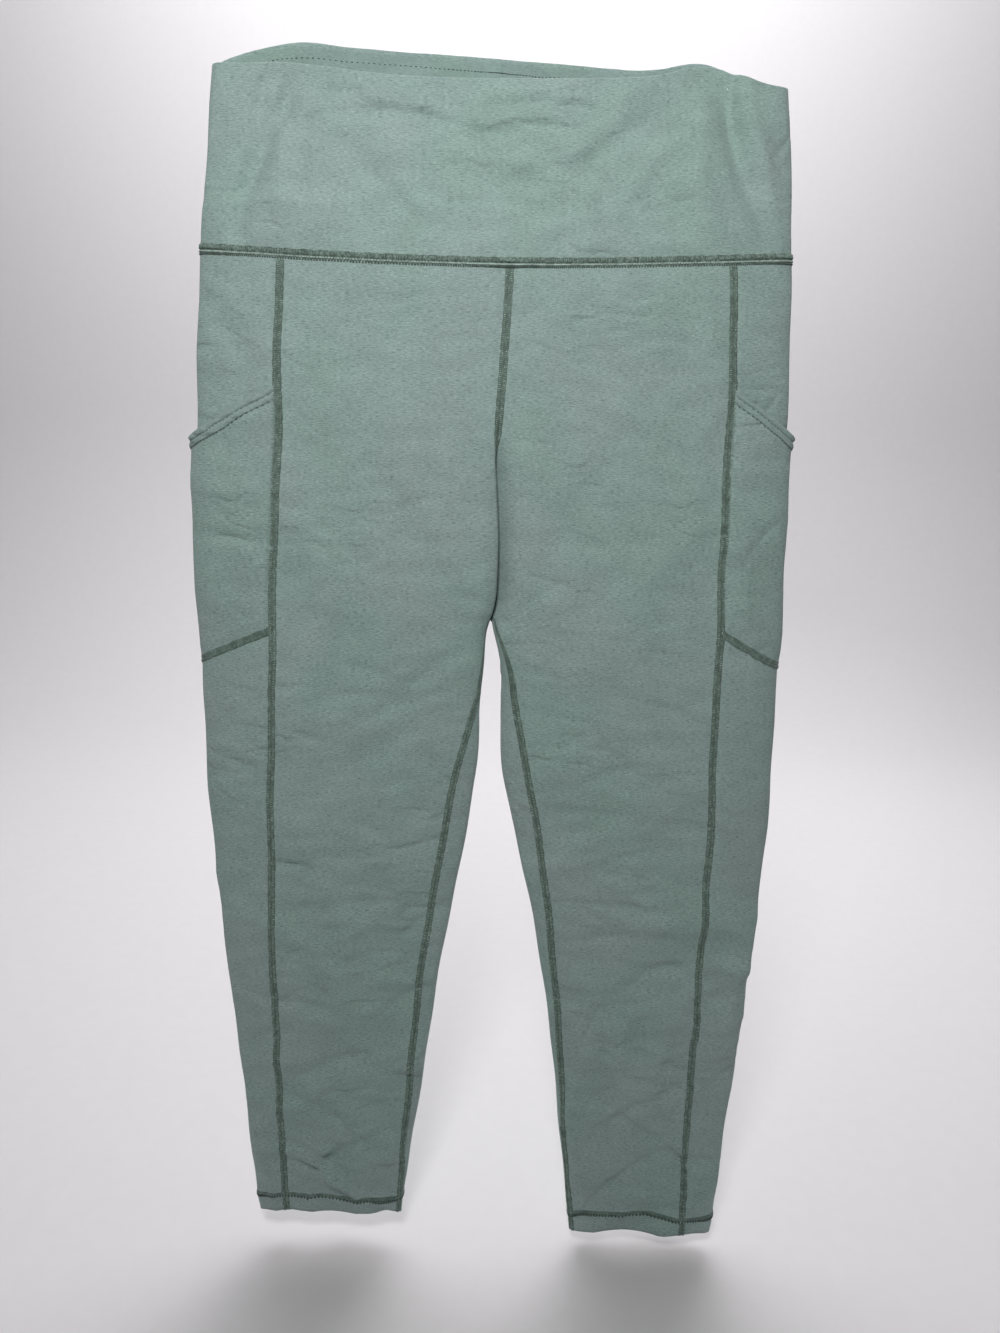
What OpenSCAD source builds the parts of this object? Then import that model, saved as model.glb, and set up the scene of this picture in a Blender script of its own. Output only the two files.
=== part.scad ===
// High-waist side-pocket leggings, hanging by the waistband.
// Millimetres, +Z up, front towards -Y, wearer's left is +X.
// Origin: the middle of the waistband's top edge.

/* [Waist and hips] */
// Flat width of the waistband along its top edge
top_width = 358; // [300:1:440]
// Flat width at the waist seam
seam_width = 383; // [310:1:470]
// Height of the waistband
band_height = 106; // [60:1:140]
// Flat width at the hips
hip_width = 398; // [320:1:490]
// Drop from the top edge to the fork of the legs
rise = 345; // [280:1:420]
// Front to back depth of the open waistband
top_depth = 28; // [22:1:60]
// Front to back depth at the hips
hip_depth = 46; // [36:1:90]
// Extra height of the back of the waistband over the sides
back_lift = 10; // [0:1:25]
// Dip of the front of the waistband below the sides
front_dip = 8; // [0:1:20]
// Distance between the two places where hanger clips pinch the waistband
clip_spacing = 246; // [180:1:290]

/* [Legs] */
// Full length from the top edge to the leg hem
total_length = 855; // [640:1:1050]
// Flat width of one leg at the thigh
thigh_width = 196; // [150:1:240]
// Flat width of one leg at the knee
knee_width = 163; // [120:1:200]
// Flat width of one leg at the hem
hem_width = 119; // [85:1:160]
// Width across both thighs
thigh_span = 415; // [350:1:500]
// Width across both knees
knee_span = 404; // [350:1:500]
// Width across both hems
hem_span = 378; // [320:1:480]
// Front to back depth of a leg at the thigh
thigh_depth = 36; // [28:1:80]
// Front to back depth of a leg at the hem
hem_depth = 12; // [10:1:60]

/* [Panels] */
// Part of the side panel that shows from the front, at the hips
side_hip = 50; // [30:1:70]
// Part of the side panel that shows from the front, at the hem
side_hem = 25; // [15:1:40]
// Furthest distance of the inseam from the inner edge of the leg
inseam_inset = 16; // [8:1:24]
// Reach of the gusset above the fork
gusset_up = 20; // [12:1:30]
// Reach of the gusset down each leg
gusset_down = 57; // [40:1:80]

/* [Pockets] */
// Drop from the waist seam to the front end of the pocket mouth
mouth_drop = 88; // [60:1:110]
// Depth of the pocket from its mouth to its base seam
pocket_depth = 159; // [110:1:190]
// Fall of the mouth and base from the front seam to the back seam
pocket_slope = 50; // [0:1:60]
// How far the pocket mouth stands open
pocket_gap = 7; // [5.5:0.5:12]

/* [Cloth and stitching] */
// Thickness of one layer of knit cloth
cloth = 1; // [0.8:0.1:1.3]
// Width of a flatlock seam
seam_width_mm = 5.2; // [3:0.1:7]
// Height of a seam above the cloth
seam_height = 0.7; // [0.4:0.1:1]
// Width of the overlocked seam between waistband and body
waist_seam_width = 6.6; // [4:0.2:10]
// Height of the hem folded along the pocket mouth
mouth_hem = 7; // [5:0.5:10]
// Height of the turned-up leg hem
hem_turn = 17; // [8:0.5:20]
// Height of the cover stitch above the edge of the leg hem
hem_stitch_height = 14.5; // [6:0.5:18]
// Drop of the stitch line below the top fold
top_stitch_drop = 7; // [4:0.5:12]
// Height of the elastic inside the top fold
elastic_height = 8; // [6:0.5:20]

/* [Hidden] */
band_wall = 2 * cloth + 0.6;
leg_length = total_length - rise;
hip_drop = band_height + 0.444 * (rise - band_height);
crease_drop = band_height + 0.53 * (rise - band_height);
thigh_drop = rise + 0.235 * leg_length;
knee_drop = rise + 0.52 * leg_length;
gusset_tip = rise + min(gusset_down, 0.18 * leg_length);
gusset_top = rise - gusset_up;
fork_half = 8;
round_power = 2.4;
half_seam = seam_width_mm / 2;
seam_gap = 0.035;

function mix(a, b, t) = a + (b - a) * t;

// Smooth curve through stations [drop, value].
function curve(p, d, i = 0) =
    i < len(p) - 2 && d > p[i + 1][0] ? curve(p, d, i + 1) :
    let (n = len(p), x0 = p[i][0], x1 = p[i + 1][0], y0 = p[i][1], y1 = p[i + 1][1],
         h = x1 - x0, t = (d - x0) / h,
         m0 = i == 0 ? (y1 - y0) / h : (y1 - p[i - 1][1]) / (x1 - p[i - 1][0]),
         m1 = i == n - 2 ? (y1 - y0) / h : (p[i + 2][1] - y0) / (p[i + 2][0] - x0),
         t2 = t * t, t3 = t2 * t)
    y0 * (2 * t3 - 3 * t2 + 1) + h * m0 * (t3 - 2 * t2 + t)
    + y1 * (3 * t2 - 2 * t3) + h * m1 * (t3 - t2);

outer_line = [[0, top_width / 2], [band_height, seam_width / 2], [hip_drop, hip_width / 2],
    [thigh_drop, thigh_span / 2], [knee_drop, knee_span / 2], [total_length, hem_span / 2]];
inner_line = [[gusset_tip, fork_half], [thigh_drop, thigh_span / 2 - thigh_width],
    [knee_drop, knee_span / 2 - knee_width], [total_length, hem_span / 2 - hem_width]];
depth_line = [[0, top_depth / 2], [band_height, 0.42 * hip_depth], [hip_drop, hip_depth / 2],
    [thigh_drop, thigh_depth / 2], [total_length, hem_depth / 2]];
side_line = [[0, side_hip - 4], [band_height, side_hip - 2], [hip_drop, side_hip],
    [thigh_drop, side_hip - 2], [knee_drop, mix(side_hip, side_hem, 0.48)],
    [total_length, side_hem]];
inset_line = [[gusset_tip, 0.55 * inseam_inset], [thigh_drop, inseam_inset],
    [knee_drop, 0.75 * inseam_inset], [total_length, 0.12 * inseam_inset]];

function outer_x(d) = curve(outer_line, d);
function fork_x(d) = let (t = 1 - (d - rise) / (gusset_tip - rise)) fork_half * (1 - t * t);
function inner_x(d) = d <= rise ? 0 : d < gusset_tip ? fork_x(d) : curve(inner_line, d);
function depth_y(d) = curve(depth_line, d);

// Share of the two-leg section in the body section: sharp at the centre, gentle away from it.
function ease(t) = let (k = max(0, min(1, t))) k * k * (3 - 2 * k);
function centre_parting(d) = d <= crease_drop ? 0 : d >= rise ? 1 :
    1 - sqrt(1 - pow((d - crease_drop) / (rise - crease_drop), 2.2));
function parting(d, x) = mix(centre_parting(d),
    ease((d - crease_drop + 30) / (gusset_tip + 20 - crease_drop)), ease(x / (0.2 * hip_width)));
function lobe(c) = pow(max(0, 1 - pow(abs(c), round_power)), 1 / round_power);
function clip_pinch(d, x) = let (u = (abs(x) - clip_spacing / 2) / 26, v = d / 40)
    1 - 0.68 * exp(-u * u - v * v);
function edge_shift(d, q, back) = back
    ? back_lift * (1 - q * q) * max(0, 1 - d / crease_drop)
    : -front_dip * (1 - q * q) * (d < band_height ? 1
        : max(0, 1 - (d - band_height) / (crease_drop - band_height)));

// Point of the outer cloth face. d: drop below the top edge. g: angle round one half, from 0 at
// the centre front or inner leg, over the front, 180 at the side, over the back to 360.
function is_back(g) = (g > 180 && g <= 360) || g < 0;
function at(d, g) =
    let (o = outer_x(d), i = inner_x(d), a = (o - i) / 2, x = (o + i) / 2 - a * cos(g),
         w = parting(d, x), y = depth_y(d) * ((1 - w) * lobe(x / o) + w * lobe(cos(g))),
         back = is_back(g))
    [x, (back ? 1 : -1) * y * clip_pinch(d, x), -d + edge_shift(d, x / o, back)];

function unit(v) = v / max(norm(v), 1e-9);
function on_centre(d, g) = d < rise && cos(g) > 0.99995;
function low_g(d, g) = d < rise ? (is_back(g) ? g - 2 : max(g - 2, 0)) : g - 2;
function high_g(d, g) = d < rise && g <= 360 && g > 180 ? min(g + 2, 360)
    : d < rise && g < 0 ? min(g + 2, -0.001) : g + 2;
function along(d, g) = on_centre(d, g) ? [is_back(g) ? -1 : 1, 0, 0]
    : at(d, high_g(d, g)) - at(d, low_g(d, g));
function down(d, g) = on_centre(d, g) ? at(min(d + 1, rise - 0.01), g) - at(d - 1, g)
    : at(d + 1, g) - at(d - 1, g);
function out(d, g) = unit(cross(down(d, g), along(d, g)));
function skin(d, g, off) = at(d, g) + off * out(d, g);
function flip(p, m) = [m * p[0], p[1], p[2]];

// Closed solid between an outer grid and an inner grid of points.
module between(a, b, ring = false) {
    rows = len(a);
    cols = len(a[0]);
    last = ring ? cols : cols - 1;
    base = rows * cols;
    function ia(i, j) = i * cols + j % cols;
    function ib(i, j) = base + i * cols + j % cols;
    points = concat([for (r = a) for (p = r) p], [for (r = b) for (p = r) p]);
    faces = concat(
        [for (i = [0:rows - 2]) for (j = [0:last - 1]) each [
            [ia(i, j), ia(i, j + 1), ia(i + 1, j + 1)], [ia(i, j), ia(i + 1, j + 1), ia(i + 1, j)],
            [ib(i, j), ib(i + 1, j + 1), ib(i, j + 1)], [ib(i, j), ib(i + 1, j), ib(i + 1, j + 1)]]],
        [for (j = [0:last - 1]) each [
            [ib(0, j), ib(0, j + 1), ia(0, j + 1)], [ib(0, j), ia(0, j + 1), ia(0, j)],
            [ia(rows - 1, j), ia(rows - 1, j + 1), ib(rows - 1, j + 1)],
            [ia(rows - 1, j), ib(rows - 1, j + 1), ib(rows - 1, j)]]],
        ring ? [] : [for (i = [0:rows - 2]) each [
            [ib(i, 0), ia(i, 0), ia(i + 1, 0)], [ib(i, 0), ia(i + 1, 0), ib(i + 1, 0)],
            [ia(i, last), ib(i, last), ib(i + 1, last)],
            [ia(i, last), ib(i + 1, last), ia(i + 1, last)]]]);
    polyhedron(points = points, faces = faces, convexity = 6);
}

// Seam lines that run down the garment, as angles.
function angle_in(d, inset) = let (a = (outer_x(d) - inner_x(d)) / 2)
    acos(max(-1, min(1, 1 - inset / a)));
function front_side_g(d) = 180 - angle_in(d, curve(side_line, d));
function back_side_g(d) = 360 - front_side_g(d);
function gusset_part(d) = (d - gusset_top) / (gusset_tip - gusset_top);
function gusset_front_g(u) = angle_in(mix(gusset_top, gusset_tip, u), 0.55 * inseam_inset * u);
function gusset_back_g(u) = 22 * sin(180 * pow(u, 0.8)) - gusset_front_g(1) * u * u * u;
function inseam_g(d) = angle_in(d, curve(inset_line, d));
function front_inner_g(d) = d <= gusset_top ? 0
    : d < gusset_tip ? gusset_front_g(gusset_part(d)) : inseam_g(d);
function back_inner_g(d) = d <= gusset_top ? 360
    : d < gusset_tip ? 360 - gusset_back_g(gusset_part(d)) : 360 + inseam_g(d);

// Levels of a full-length panel, closer together round the fork.
levels = concat([for (i = [0:5]) mix(band_height, crease_drop, i / 6)],
    [for (i = [0:5]) mix(crease_drop, gusset_top, i / 6)],
    [for (i = [0:2]) mix(gusset_top, rise, i / 3)],
    [for (i = [0:3]) mix(rise, gusset_tip, i / 4)],
    [for (i = [0:13]) mix(gusset_tip, total_length, i / 13)]);

module front_panel() {
    function grid(off) = [for (d = levels) [for (j = [0:10])
        skin(d, mix(front_inner_g(d), front_side_g(d), j / 10), off)]];
    between(grid(0), grid(-cloth));
}

module back_panel() {
    function grid(off) = [for (d = levels) [for (j = [0:15])
        skin(d, mix(back_side_g(d), back_inner_g(d), j / 15), off)]];
    between(grid(0), grid(-cloth));
}

// Level lines that cross the side panel; s runs from the front seam to the back seam.
function mouth_d(s) = band_height + mouth_drop + pocket_slope * s;
function base_d(s) = mouth_d(s) + pocket_depth;
function side_g(d, s) = mix(front_side_g(d), back_side_g(d), s);
function side_point(d, s, off) = skin(d, side_g(d, s), off);

module side_yoke() {
    function grid(off) = [for (i = [0:12]) [for (j = [0:10]) let (s = j / 10)
        side_point(mix(band_height, base_d(s), i / 12), s, off)]];
    between(grid(0), grid(-cloth));
}

module lower_side_panel() {
    function grid(off) = [for (i = [0:18]) [for (j = [0:10]) let (s = j / 10)
        side_point(mix(base_d(s), total_length, i / 18), s, off)]];
    between(grid(0), grid(-cloth));
}

// Stand-off of the pocket's outer face; r runs from the mouth to the base.
function bulge(r, s) = let (q = abs(2 * s - 1) / (1 - 2 * seam_gap))
    cloth + pocket_gap * (1 - r * r * r) * max(0, 1 - q * q * q * q);
function pocket_s(t) = mix(seam_gap, 1 - seam_gap, t);
function pocket_row(r, t, off) = let (s = pocket_s(t))
    side_point(mix(mouth_d(s), base_d(s) - half_seam - 0.1, r), s, bulge(r, s) + off);

module pocket_front() {
    function grid(off) = [for (i = [0:9]) [for (j = [0:12]) pocket_row(i / 9, j / 12, off)]];
    between(grid(0), grid(-cloth));
}

// Cross shape of a flatlock seam: position across, height.
seam_shape = [[-1, 0.55], [-0.5, 1], [0, 0.6], [0.5, 1], [1, 0.55]];

module pocket_mouth_hem() {
    function line(k, h) = [for (j = [0:12]) let (s = pocket_s(j / 12),
        d = mouth_d(s) + mouth_hem * (k + 1) / 2)
        side_point(d, s, bulge((d - mouth_d(s)) / pocket_depth, s) + h)];
    between([for (p = seam_shape) line(p[0], seam_height * p[1])],
        [for (p = seam_shape) line(p[0], 0)]);
}

module pocket_base_seam() {
    function line(k, h) = [for (j = [0:12]) let (s = pocket_s(j / 12))
        side_point(base_d(s) + half_seam * k, s, h)];
    between([for (p = seam_shape) line(p[0], seam_height * p[1])],
        [for (p = seam_shape) line(p[0], 0)]);
}

// Seam laid along a line of [drop, angle] stations.
module flatlock(path, half = half_seam) {
    function across(d, g) = half / max(norm(at(d, g + 1) - at(d, g - 1)) / 2, 0.02);
    a = [for (i = [0:len(path) - 1]) [for (q = seam_shape) let (p = path[i])
        skin(p[0], p[1] + q[0] * across(p[0], p[1]), seam_height * q[1])]];
    b = [for (i = [0:len(path) - 1]) [for (q = seam_shape) let (p = path[i])
        skin(p[0], p[1] + q[0] * across(p[0], p[1]), 0)]];
    between(a, b);
}

seam_start = band_height + waist_seam_width * 2 / 3 + 0.4;
module front_side_seam() {
    flatlock([for (i = [0:36]) let (d = mix(seam_start, total_length, i / 36))
        [d, front_side_g(d)]]);
}
module back_side_seam() {
    flatlock([for (i = [0:36]) let (d = mix(seam_start, total_length, i / 36))
        [d, back_side_g(d)]]);
}
module inseam() {
    flatlock([for (i = [0:26]) let (d = mix(gusset_tip + 1, total_length, i / 26))
        [d, inseam_g(d)]]);
}

// Centre seams of the body, from the waist seam to the gusset.
module rise_seam(back) {
    function row(d, lift) = [for (q = seam_shape) let (x = half_seam * abs(q[0]),
        g0 = acos(max(-1, 1 - 2 * x / outer_x(d))), g = back ? 360 - g0 : g0,
        m = (q[0] < 0) == back ? 1 : -1)
        flip(skin(d, g, lift ? seam_height * q[1] : 0), m)];
    ds = [for (i = [0:16]) mix(seam_start, gusset_top - 4, i / 16)];
    between([for (d = ds) row(d, true)], [for (d = ds) row(d, false)]);
}
module front_rise_seam() { rise_seam(false); }
module back_rise_seam() { rise_seam(true); }

// Gusset: a diamond under the fork. u runs from one leg tip to the other, v from front to back.
function gusset_at(u, v) = let (k = abs(u), m = u < 0 ? -1 : 1,
    top = mix(gusset_top, gusset_tip, k), low = mix(rise, gusset_tip, k),
    d = low + (top - low) * pow(abs(2 * v - 1), 1.5),
    g = mix(gusset_front_g(k), -gusset_back_g(k), v) + (k < 0.001 ? (v < 0.5 ? 0.001 : -0.001) : 0))
    flip(at(d, g), m);
gusset_end = 0.97;
module gusset() {
    nu = 10;
    nv = 8;
    us = [for (i = [-nu:nu]) let (t = i / nu) gusset_end * t];
    vs = [for (j = [0:nv]) j / nv];
    function slope_u(u, v) = gusset_at(min(u + 0.02, 0.99), v) - gusset_at(max(u - 0.02, -0.99), v);
    function slope_v(u, v) = gusset_at(u, min(v + 0.02, 1)) - gusset_at(u, max(v - 0.02, 0));
    function face_out(u, v) = unit(cross(slope_v(u, v), slope_u(u, v)));
    a = [for (v = vs) [for (u = us) gusset_at(u, v)]];
    b = [for (v = vs) [for (u = us) gusset_at(u, v) - cloth * face_out(u, v)]];
    between(a, b);
}
module gusset_seam() {
    flatlock([for (i = [0:12]) let (u = mix(0.2, 0.93, i / 12))
        [mix(gusset_top, gusset_tip, u), gusset_front_g(u)]], half_seam * 0.6);
    flatlock([for (i = [0:12]) let (u = mix(0.2, 0.8, i / 12))
        [mix(gusset_top, gusset_tip, u), -gusset_back_g(u)]], half_seam * 0.6);
}

// Folded waistband: lining, top fold and outer face as one strip of cloth.
band_steps = [1, 0.75, 0.5, 0.25, 0.04];
module waistband(back) {
    lining = [for (t = band_steps) [t * (band_height - 1), -band_wall, -band_wall + cloth]];
    shell = [for (k = [0:len(band_steps) - 1])
        [band_steps[len(band_steps) - 1 - k] * band_height, 0, -cloth]];
    cols = concat([for (j = [0:14]) [back ? 180 + 180 * j / 14 : 180 - 180 * j / 14,
        back ? 1 : -1]], [for (j = [1:14]) [back ? 360 - 180 * j / 14 : 180 * j / 14,
        back ? -1 : 1]]);
    function row(d, off) = [for (c = cols) flip(skin(d, c[0], off), c[1])];
    a = concat([for (p = lining) row(p[0], p[1])],
        [row(0.9, -band_wall + 0.3), row(0, -band_wall / 2), row(0.9, -0.3)],
        [for (p = shell) row(p[0], p[1])]);
    b = concat([for (p = lining) row(p[0], p[2])],
        [row(cloth + 0.9, -band_wall + cloth), row(cloth, -band_wall / 2),
            row(cloth + 0.9, -cloth)],
        [for (p = shell) row(p[0], p[2])]);
    between(a, b);
}
module waistband_front() { waistband(false); }
module waistband_back() { waistband(true); }

// Columns right round the body at one level.
body_cols = concat([for (j = [0:28]) [360 * j / 28, 1]],
    [for (j = [1:27]) [360 - 360 * j / 28, -1]]);
function body_row(d, off) = [for (c = body_cols) flip(skin(d, c[0], off), c[1])];

module waist_elastic() {
    out_off = -cloth - 0.12;
    in_off = -band_wall + cloth + 0.12;
    ds = [cloth + 0.9, cloth + elastic_height / 2, cloth + elastic_height];
    between([for (d = ds) body_row(d, out_off)], [for (d = ds) body_row(d, in_off)], true);
}

module waist_seam() {
    rows = [for (p = seam_shape) [band_height + waist_seam_width * (1 / 6 + p[0] / 2), p[1]]];
    between([for (p = rows) body_row(p[0], seam_height * p[1])],
        [for (p = rows) body_row(p[0], 0)], true);
}

module top_edge_stitch() {
    shape = [[-0.6, 0.5], [0, 1], [0.6, 0.5]];
    between([for (p = shape) body_row(top_stitch_drop + p[0], -band_wall)],
        [for (p = shape) body_row(top_stitch_drop + p[0], -band_wall - 0.5 * p[1])], true);
}

module hem_facing() {
    ds = [total_length - hem_turn, total_length - hem_turn / 2, total_length];
    function row(d, off) = [for (j = [0:31]) skin(d, 360 * j / 32, off)];
    between([for (d = ds) row(d, -cloth)], [for (d = ds) row(d, -1.9 * cloth)], true);
}

// Cover stitch round the hem, lifted where it crosses a seam.
module hem_stitch() {
    dm = total_length - hem_stitch_height;
    function spread(g) = half_seam / (norm(at(dm, g + 1) - at(dm, g - 1)) / 2);
    seams = [inseam_g(dm), front_side_g(dm), back_side_g(dm)];
    counts = [9, 8, 12];
    cols = [for (k = [0:2]) let (g0 = seams[k], g1 = k < 2 ? seams[k + 1] : 360 + seams[0],
        s0 = spread(g0), s1 = spread(g1), n = counts[k])
        each concat([[g0 + s0 * 1.1, 1]], [for (j = [0:n]) [mix(g0 + s0 * 1.5, g1 - s1 * 1.5,
            j / n), 0]], [[g1 - s1 * 1.1, 1]])];
    function row(d, h) = [for (c = cols) skin(d, c[0], c[1] * seam_height + h)];
    shape = [[-0.8, 0.3], [0, 0.6], [0.8, 0.3]];
    between([for (p = shape) row(dm + p[0], p[1])], [for (p = shape) row(dm + p[0], 0)], true);
}

sage = [0.66, 0.73, 0.69];
shade = [0.58, 0.66, 0.62];
thread = [0.33, 0.42, 0.38];

color(sage) waistband_front();
color(sage) waistband_back();
color(shade) waist_elastic();
color(thread) waist_seam();
color(thread) top_edge_stitch();
color(sage) front_panel();  // front_panel_left
color(sage) mirror([1, 0, 0]) front_panel();  // front_panel_right
color(sage) back_panel();  // back_panel_left
color(sage) mirror([1, 0, 0]) back_panel();  // back_panel_right
color(shade) side_yoke();  // side_yoke_left
color(shade) mirror([1, 0, 0]) side_yoke();  // side_yoke_right
color(sage) pocket_front();  // pocket_front_left
color(sage) mirror([1, 0, 0]) pocket_front();  // pocket_front_right
color(thread) pocket_mouth_hem();  // pocket_mouth_hem_left
color(thread) mirror([1, 0, 0]) pocket_mouth_hem();  // pocket_mouth_hem_right
color(thread) pocket_base_seam();  // pocket_base_seam_left
color(thread) mirror([1, 0, 0]) pocket_base_seam();  // pocket_base_seam_right
color(shade) lower_side_panel();  // lower_side_panel_left
color(shade) mirror([1, 0, 0]) lower_side_panel();  // lower_side_panel_right
color(shade) gusset();
color(thread) gusset_seam();  // gusset_seam_left
color(thread) mirror([1, 0, 0]) gusset_seam();  // gusset_seam_right
color(thread) front_rise_seam();
color(thread) back_rise_seam();
color(thread) front_side_seam();  // front_side_seam_left
color(thread) mirror([1, 0, 0]) front_side_seam();  // front_side_seam_right
color(thread) back_side_seam();  // back_side_seam_left
color(thread) mirror([1, 0, 0]) back_side_seam();  // back_side_seam_right
color(thread) inseam();  // inseam_left
color(thread) mirror([1, 0, 0]) inseam();  // inseam_right
color(shade) hem_facing();  // hem_facing_left
color(shade) mirror([1, 0, 0]) hem_facing();  // hem_facing_right
color(thread) hem_stitch();  // hem_stitch_left
color(thread) mirror([1, 0, 0]) hem_stitch();  // hem_stitch_right
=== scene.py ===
"""High-waist side-pocket leggings, hanging by the waistband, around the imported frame."""
import math

import bmesh
import bpy
import numpy as np
from bpy.props import FloatProperty, FloatVectorProperty, IntProperty, PointerProperty
from mathutils import Matrix, Vector


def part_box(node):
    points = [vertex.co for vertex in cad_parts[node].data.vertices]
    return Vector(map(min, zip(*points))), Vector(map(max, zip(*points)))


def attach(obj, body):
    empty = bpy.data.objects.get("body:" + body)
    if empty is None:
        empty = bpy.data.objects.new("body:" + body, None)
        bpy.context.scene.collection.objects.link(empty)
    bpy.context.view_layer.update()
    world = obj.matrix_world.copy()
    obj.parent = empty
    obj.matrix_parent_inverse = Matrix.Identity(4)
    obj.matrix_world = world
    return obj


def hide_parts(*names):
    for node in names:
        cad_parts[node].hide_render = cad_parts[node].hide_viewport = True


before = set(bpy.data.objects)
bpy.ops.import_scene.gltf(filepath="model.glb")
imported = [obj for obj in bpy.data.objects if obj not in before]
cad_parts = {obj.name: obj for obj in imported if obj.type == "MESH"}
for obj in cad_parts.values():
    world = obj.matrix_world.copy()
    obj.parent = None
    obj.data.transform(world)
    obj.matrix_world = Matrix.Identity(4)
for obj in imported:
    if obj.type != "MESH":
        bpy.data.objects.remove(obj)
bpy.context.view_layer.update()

bl_info = {
    "name": "High-waist leggings",
    "version": (1, 0, 0),
    "blender": (4, 5, 0),
    "location": "View3D > Sidebar > Leggings",
    "description": "Makes knit leggings with side pockets and flatlock seams",
    "category": "Add Mesh",
}

SIDES = {"left": 1, "right": -1}
BAND_LOW, BAND_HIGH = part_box("waistband_front")
HEM_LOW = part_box("hem_facing_left")[0]
MILLIMETRE = 0.001


# Sizes and colours a user would change ------------------------------------------------------


def length(name, description, default):
    return FloatProperty(
        name=name, description=description, default=default, min=0.0, unit="LENGTH", precision=4
    )


def tint(name, description, default):
    return FloatVectorProperty(
        name=name, description=description, default=default, size=3, min=0.0, max=1.0,
        subtype="COLOR"
    )


class LeggingSizes(bpy.types.PropertyGroup):
    """Sizes of the garment"""

    top_width: length("Top width", "Flat width of the waistband's top edge", 0.358)
    seam_width: length("Waist seam width", "Flat width at the waist seam",
                       BAND_HIGH[0] - BAND_LOW[0])
    band_height: length("Band height", "Height of the waistband", 0.106)
    hip_width: length("Hip width", "Flat width at the hips", 0.398)
    rise: length("Rise", "Drop from the top edge to the fork", 0.345)
    total_length: length("Length", "Full length from top edge to leg hem", -HEM_LOW[2])
    top_depth: length("Top depth", "Front to back depth of the open waistband", 0.026)
    hip_depth: length("Hip depth", "Front to back depth at the hips", 0.045)
    thigh_depth: length("Thigh depth", "Front to back depth of a leg at the thigh", 0.034)
    hem_depth: length("Hem depth", "Front to back depth of a leg at the hem", 0.0095)
    clip_spacing: length("Clip spacing", "Distance between the pinched places", 0.246)
    cloth: length("Cloth", "Thickness of one layer of knit", 0.001)
    band_wall: length("Band wall", "Thickness of the folded waistband", 0.0026)
    seam_half: length("Half seam", "Half the width of a flatlock seam", 0.0028)
    waist_seam_width: length("Waist seam", "Width of the overlocked waist seam", 0.0070)
    mouth_hem: length("Mouth hem", "Height of the folded pocket mouth hem", 0.0094)
    pocket_gap: length("Pocket gap", "How far a pocket mouth stands open", 0.0029)
    hem_turn: length("Hem turn", "Height of the turned-up leg hem", 0.0175)
    hem_stitch_height: length("Hem stitch", "Height of the cover stitch over the edge", 0.0150)
    top_stitch_drop: length("Top stitch", "Drop of the stitch line below the fold", 0.0078)
    elastic_height: length("Elastic", "Height of the elastic in the top fold", 0.008)
    stitch_pitch: length("Stitch pitch", "Distance between two flatlock threads", 0.00125)
    weave: length("Mesh spacing", "Distance between points of the cloth mesh", 0.0030)
    folds: IntProperty(name="Creases", description="Number of small creases", default=220, min=0)


class LeggingColours(bpy.types.PropertyGroup):
    """Colours of cloth and thread"""

    cloth: tint("Cloth", "Main colour of the heathered knit", (0.290, 0.392, 0.368))
    light: tint("Light fibre", "Colour of the pale fibres", (0.45, 0.55, 0.535))
    dark: tint("Dark fibre", "Colour of the dark fibres", (0.155, 0.222, 0.212))
    thread: tint("Thread", "Colour of the seam thread", (0.104, 0.156, 0.133))
    # Thread light is also the colour of the painted highlight spots on the threads.
    thread_light: tint("Thread light", "Colour of worn thread tops", (0.260, 0.355, 0.312))
    floor: tint("Floor", "Colour of the floor", (0.72, 0.71, 0.72))


def sizes():
    return bpy.context.scene.legging_sizes


def colours():
    return bpy.context.scene.legging_colours


# The hanging shape --------------------------------------------------------------------------

# How each side hangs: half widths at the seam, hip, thigh, knee and hem, the inner edge at the
# gusset tip, thigh, knee and hem, the part of the side panel seen from the front at the top,
# seam, hip, fork, thigh, knee, shin and hem, and the inseam's inset down the leg. Then the
# pocket lines' drop at the front seam, fall to the back seam and bow, how much lower the hem
# hangs, how far the top edge rises by a clip and droops past it, and how much the back of the
# top edge gains towards the side.
HANG = {
    "left": {
        "outer": (0.1902, 0.1966, 0.2068, 0.2012, 0.1905),
        "inner": (0.0052, 0.0095, 0.0392, 0.0722),
        "side": (0.039, 0.0405, 0.041, 0.045, 0.0465, 0.0405, 0.035, 0.026),
        "inset": (0.0095, 0.0186, 0.0100, 0.0032, 0.0012),
        "mouth": (0.1868, 0.064),
        "base": (0.351, 0.050, 0.0026),
        "hem": 0.006,
        "clip": (0.0030, 0.0080),
        "swing": -0.0045,
    },
    "right": {
        "outer": (0.1922, 0.2000, 0.2080, 0.2028, 0.1862),
        "inner": (0.0092, 0.0108, 0.0360, 0.0680),
        "side": (0.052, 0.055, 0.0575, 0.055, 0.050, 0.0385, 0.030, 0.0238),
        "inset": (0.0012, 0.0150, 0.0142, 0.0072, 0.0012),
        "mouth": (0.189, 0.072),
        "base": (0.3535, 0.052, 0.0004),
        "hem": -0.008,
        "clip": (0.0008, 0.0),
        "swing": 0.0037,
    },
}
# How far the centre line stands to the wearer's left, down the body.
CENTRE_LINE = ((0, 0), (0.05, 0.0045), (0.106, 0.0077), (0.160, 0.0058), (0.212, 0.0030),
               (0.240, 0.0002), (0.290, 0.0024), (0.325, 0.0012), (0.352, -0.0004),
               (0.385, 0.0028), (0.420, 0.0010), (0.5, 0))
# How far the gusset reaches above and below the fork.
GUSSET_UP = 0.020
GUSSET_DOWN = 0.057
# How square a section through the body or a leg is, and how flat a clip pinches the band.
ROUND_POWER = 2.4
PINCH = 0.68
# How far the front sags between the clips, and the back stands above it.
FRONT_SAG = 0.0075
BACK_RISE = 0.0105
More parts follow.
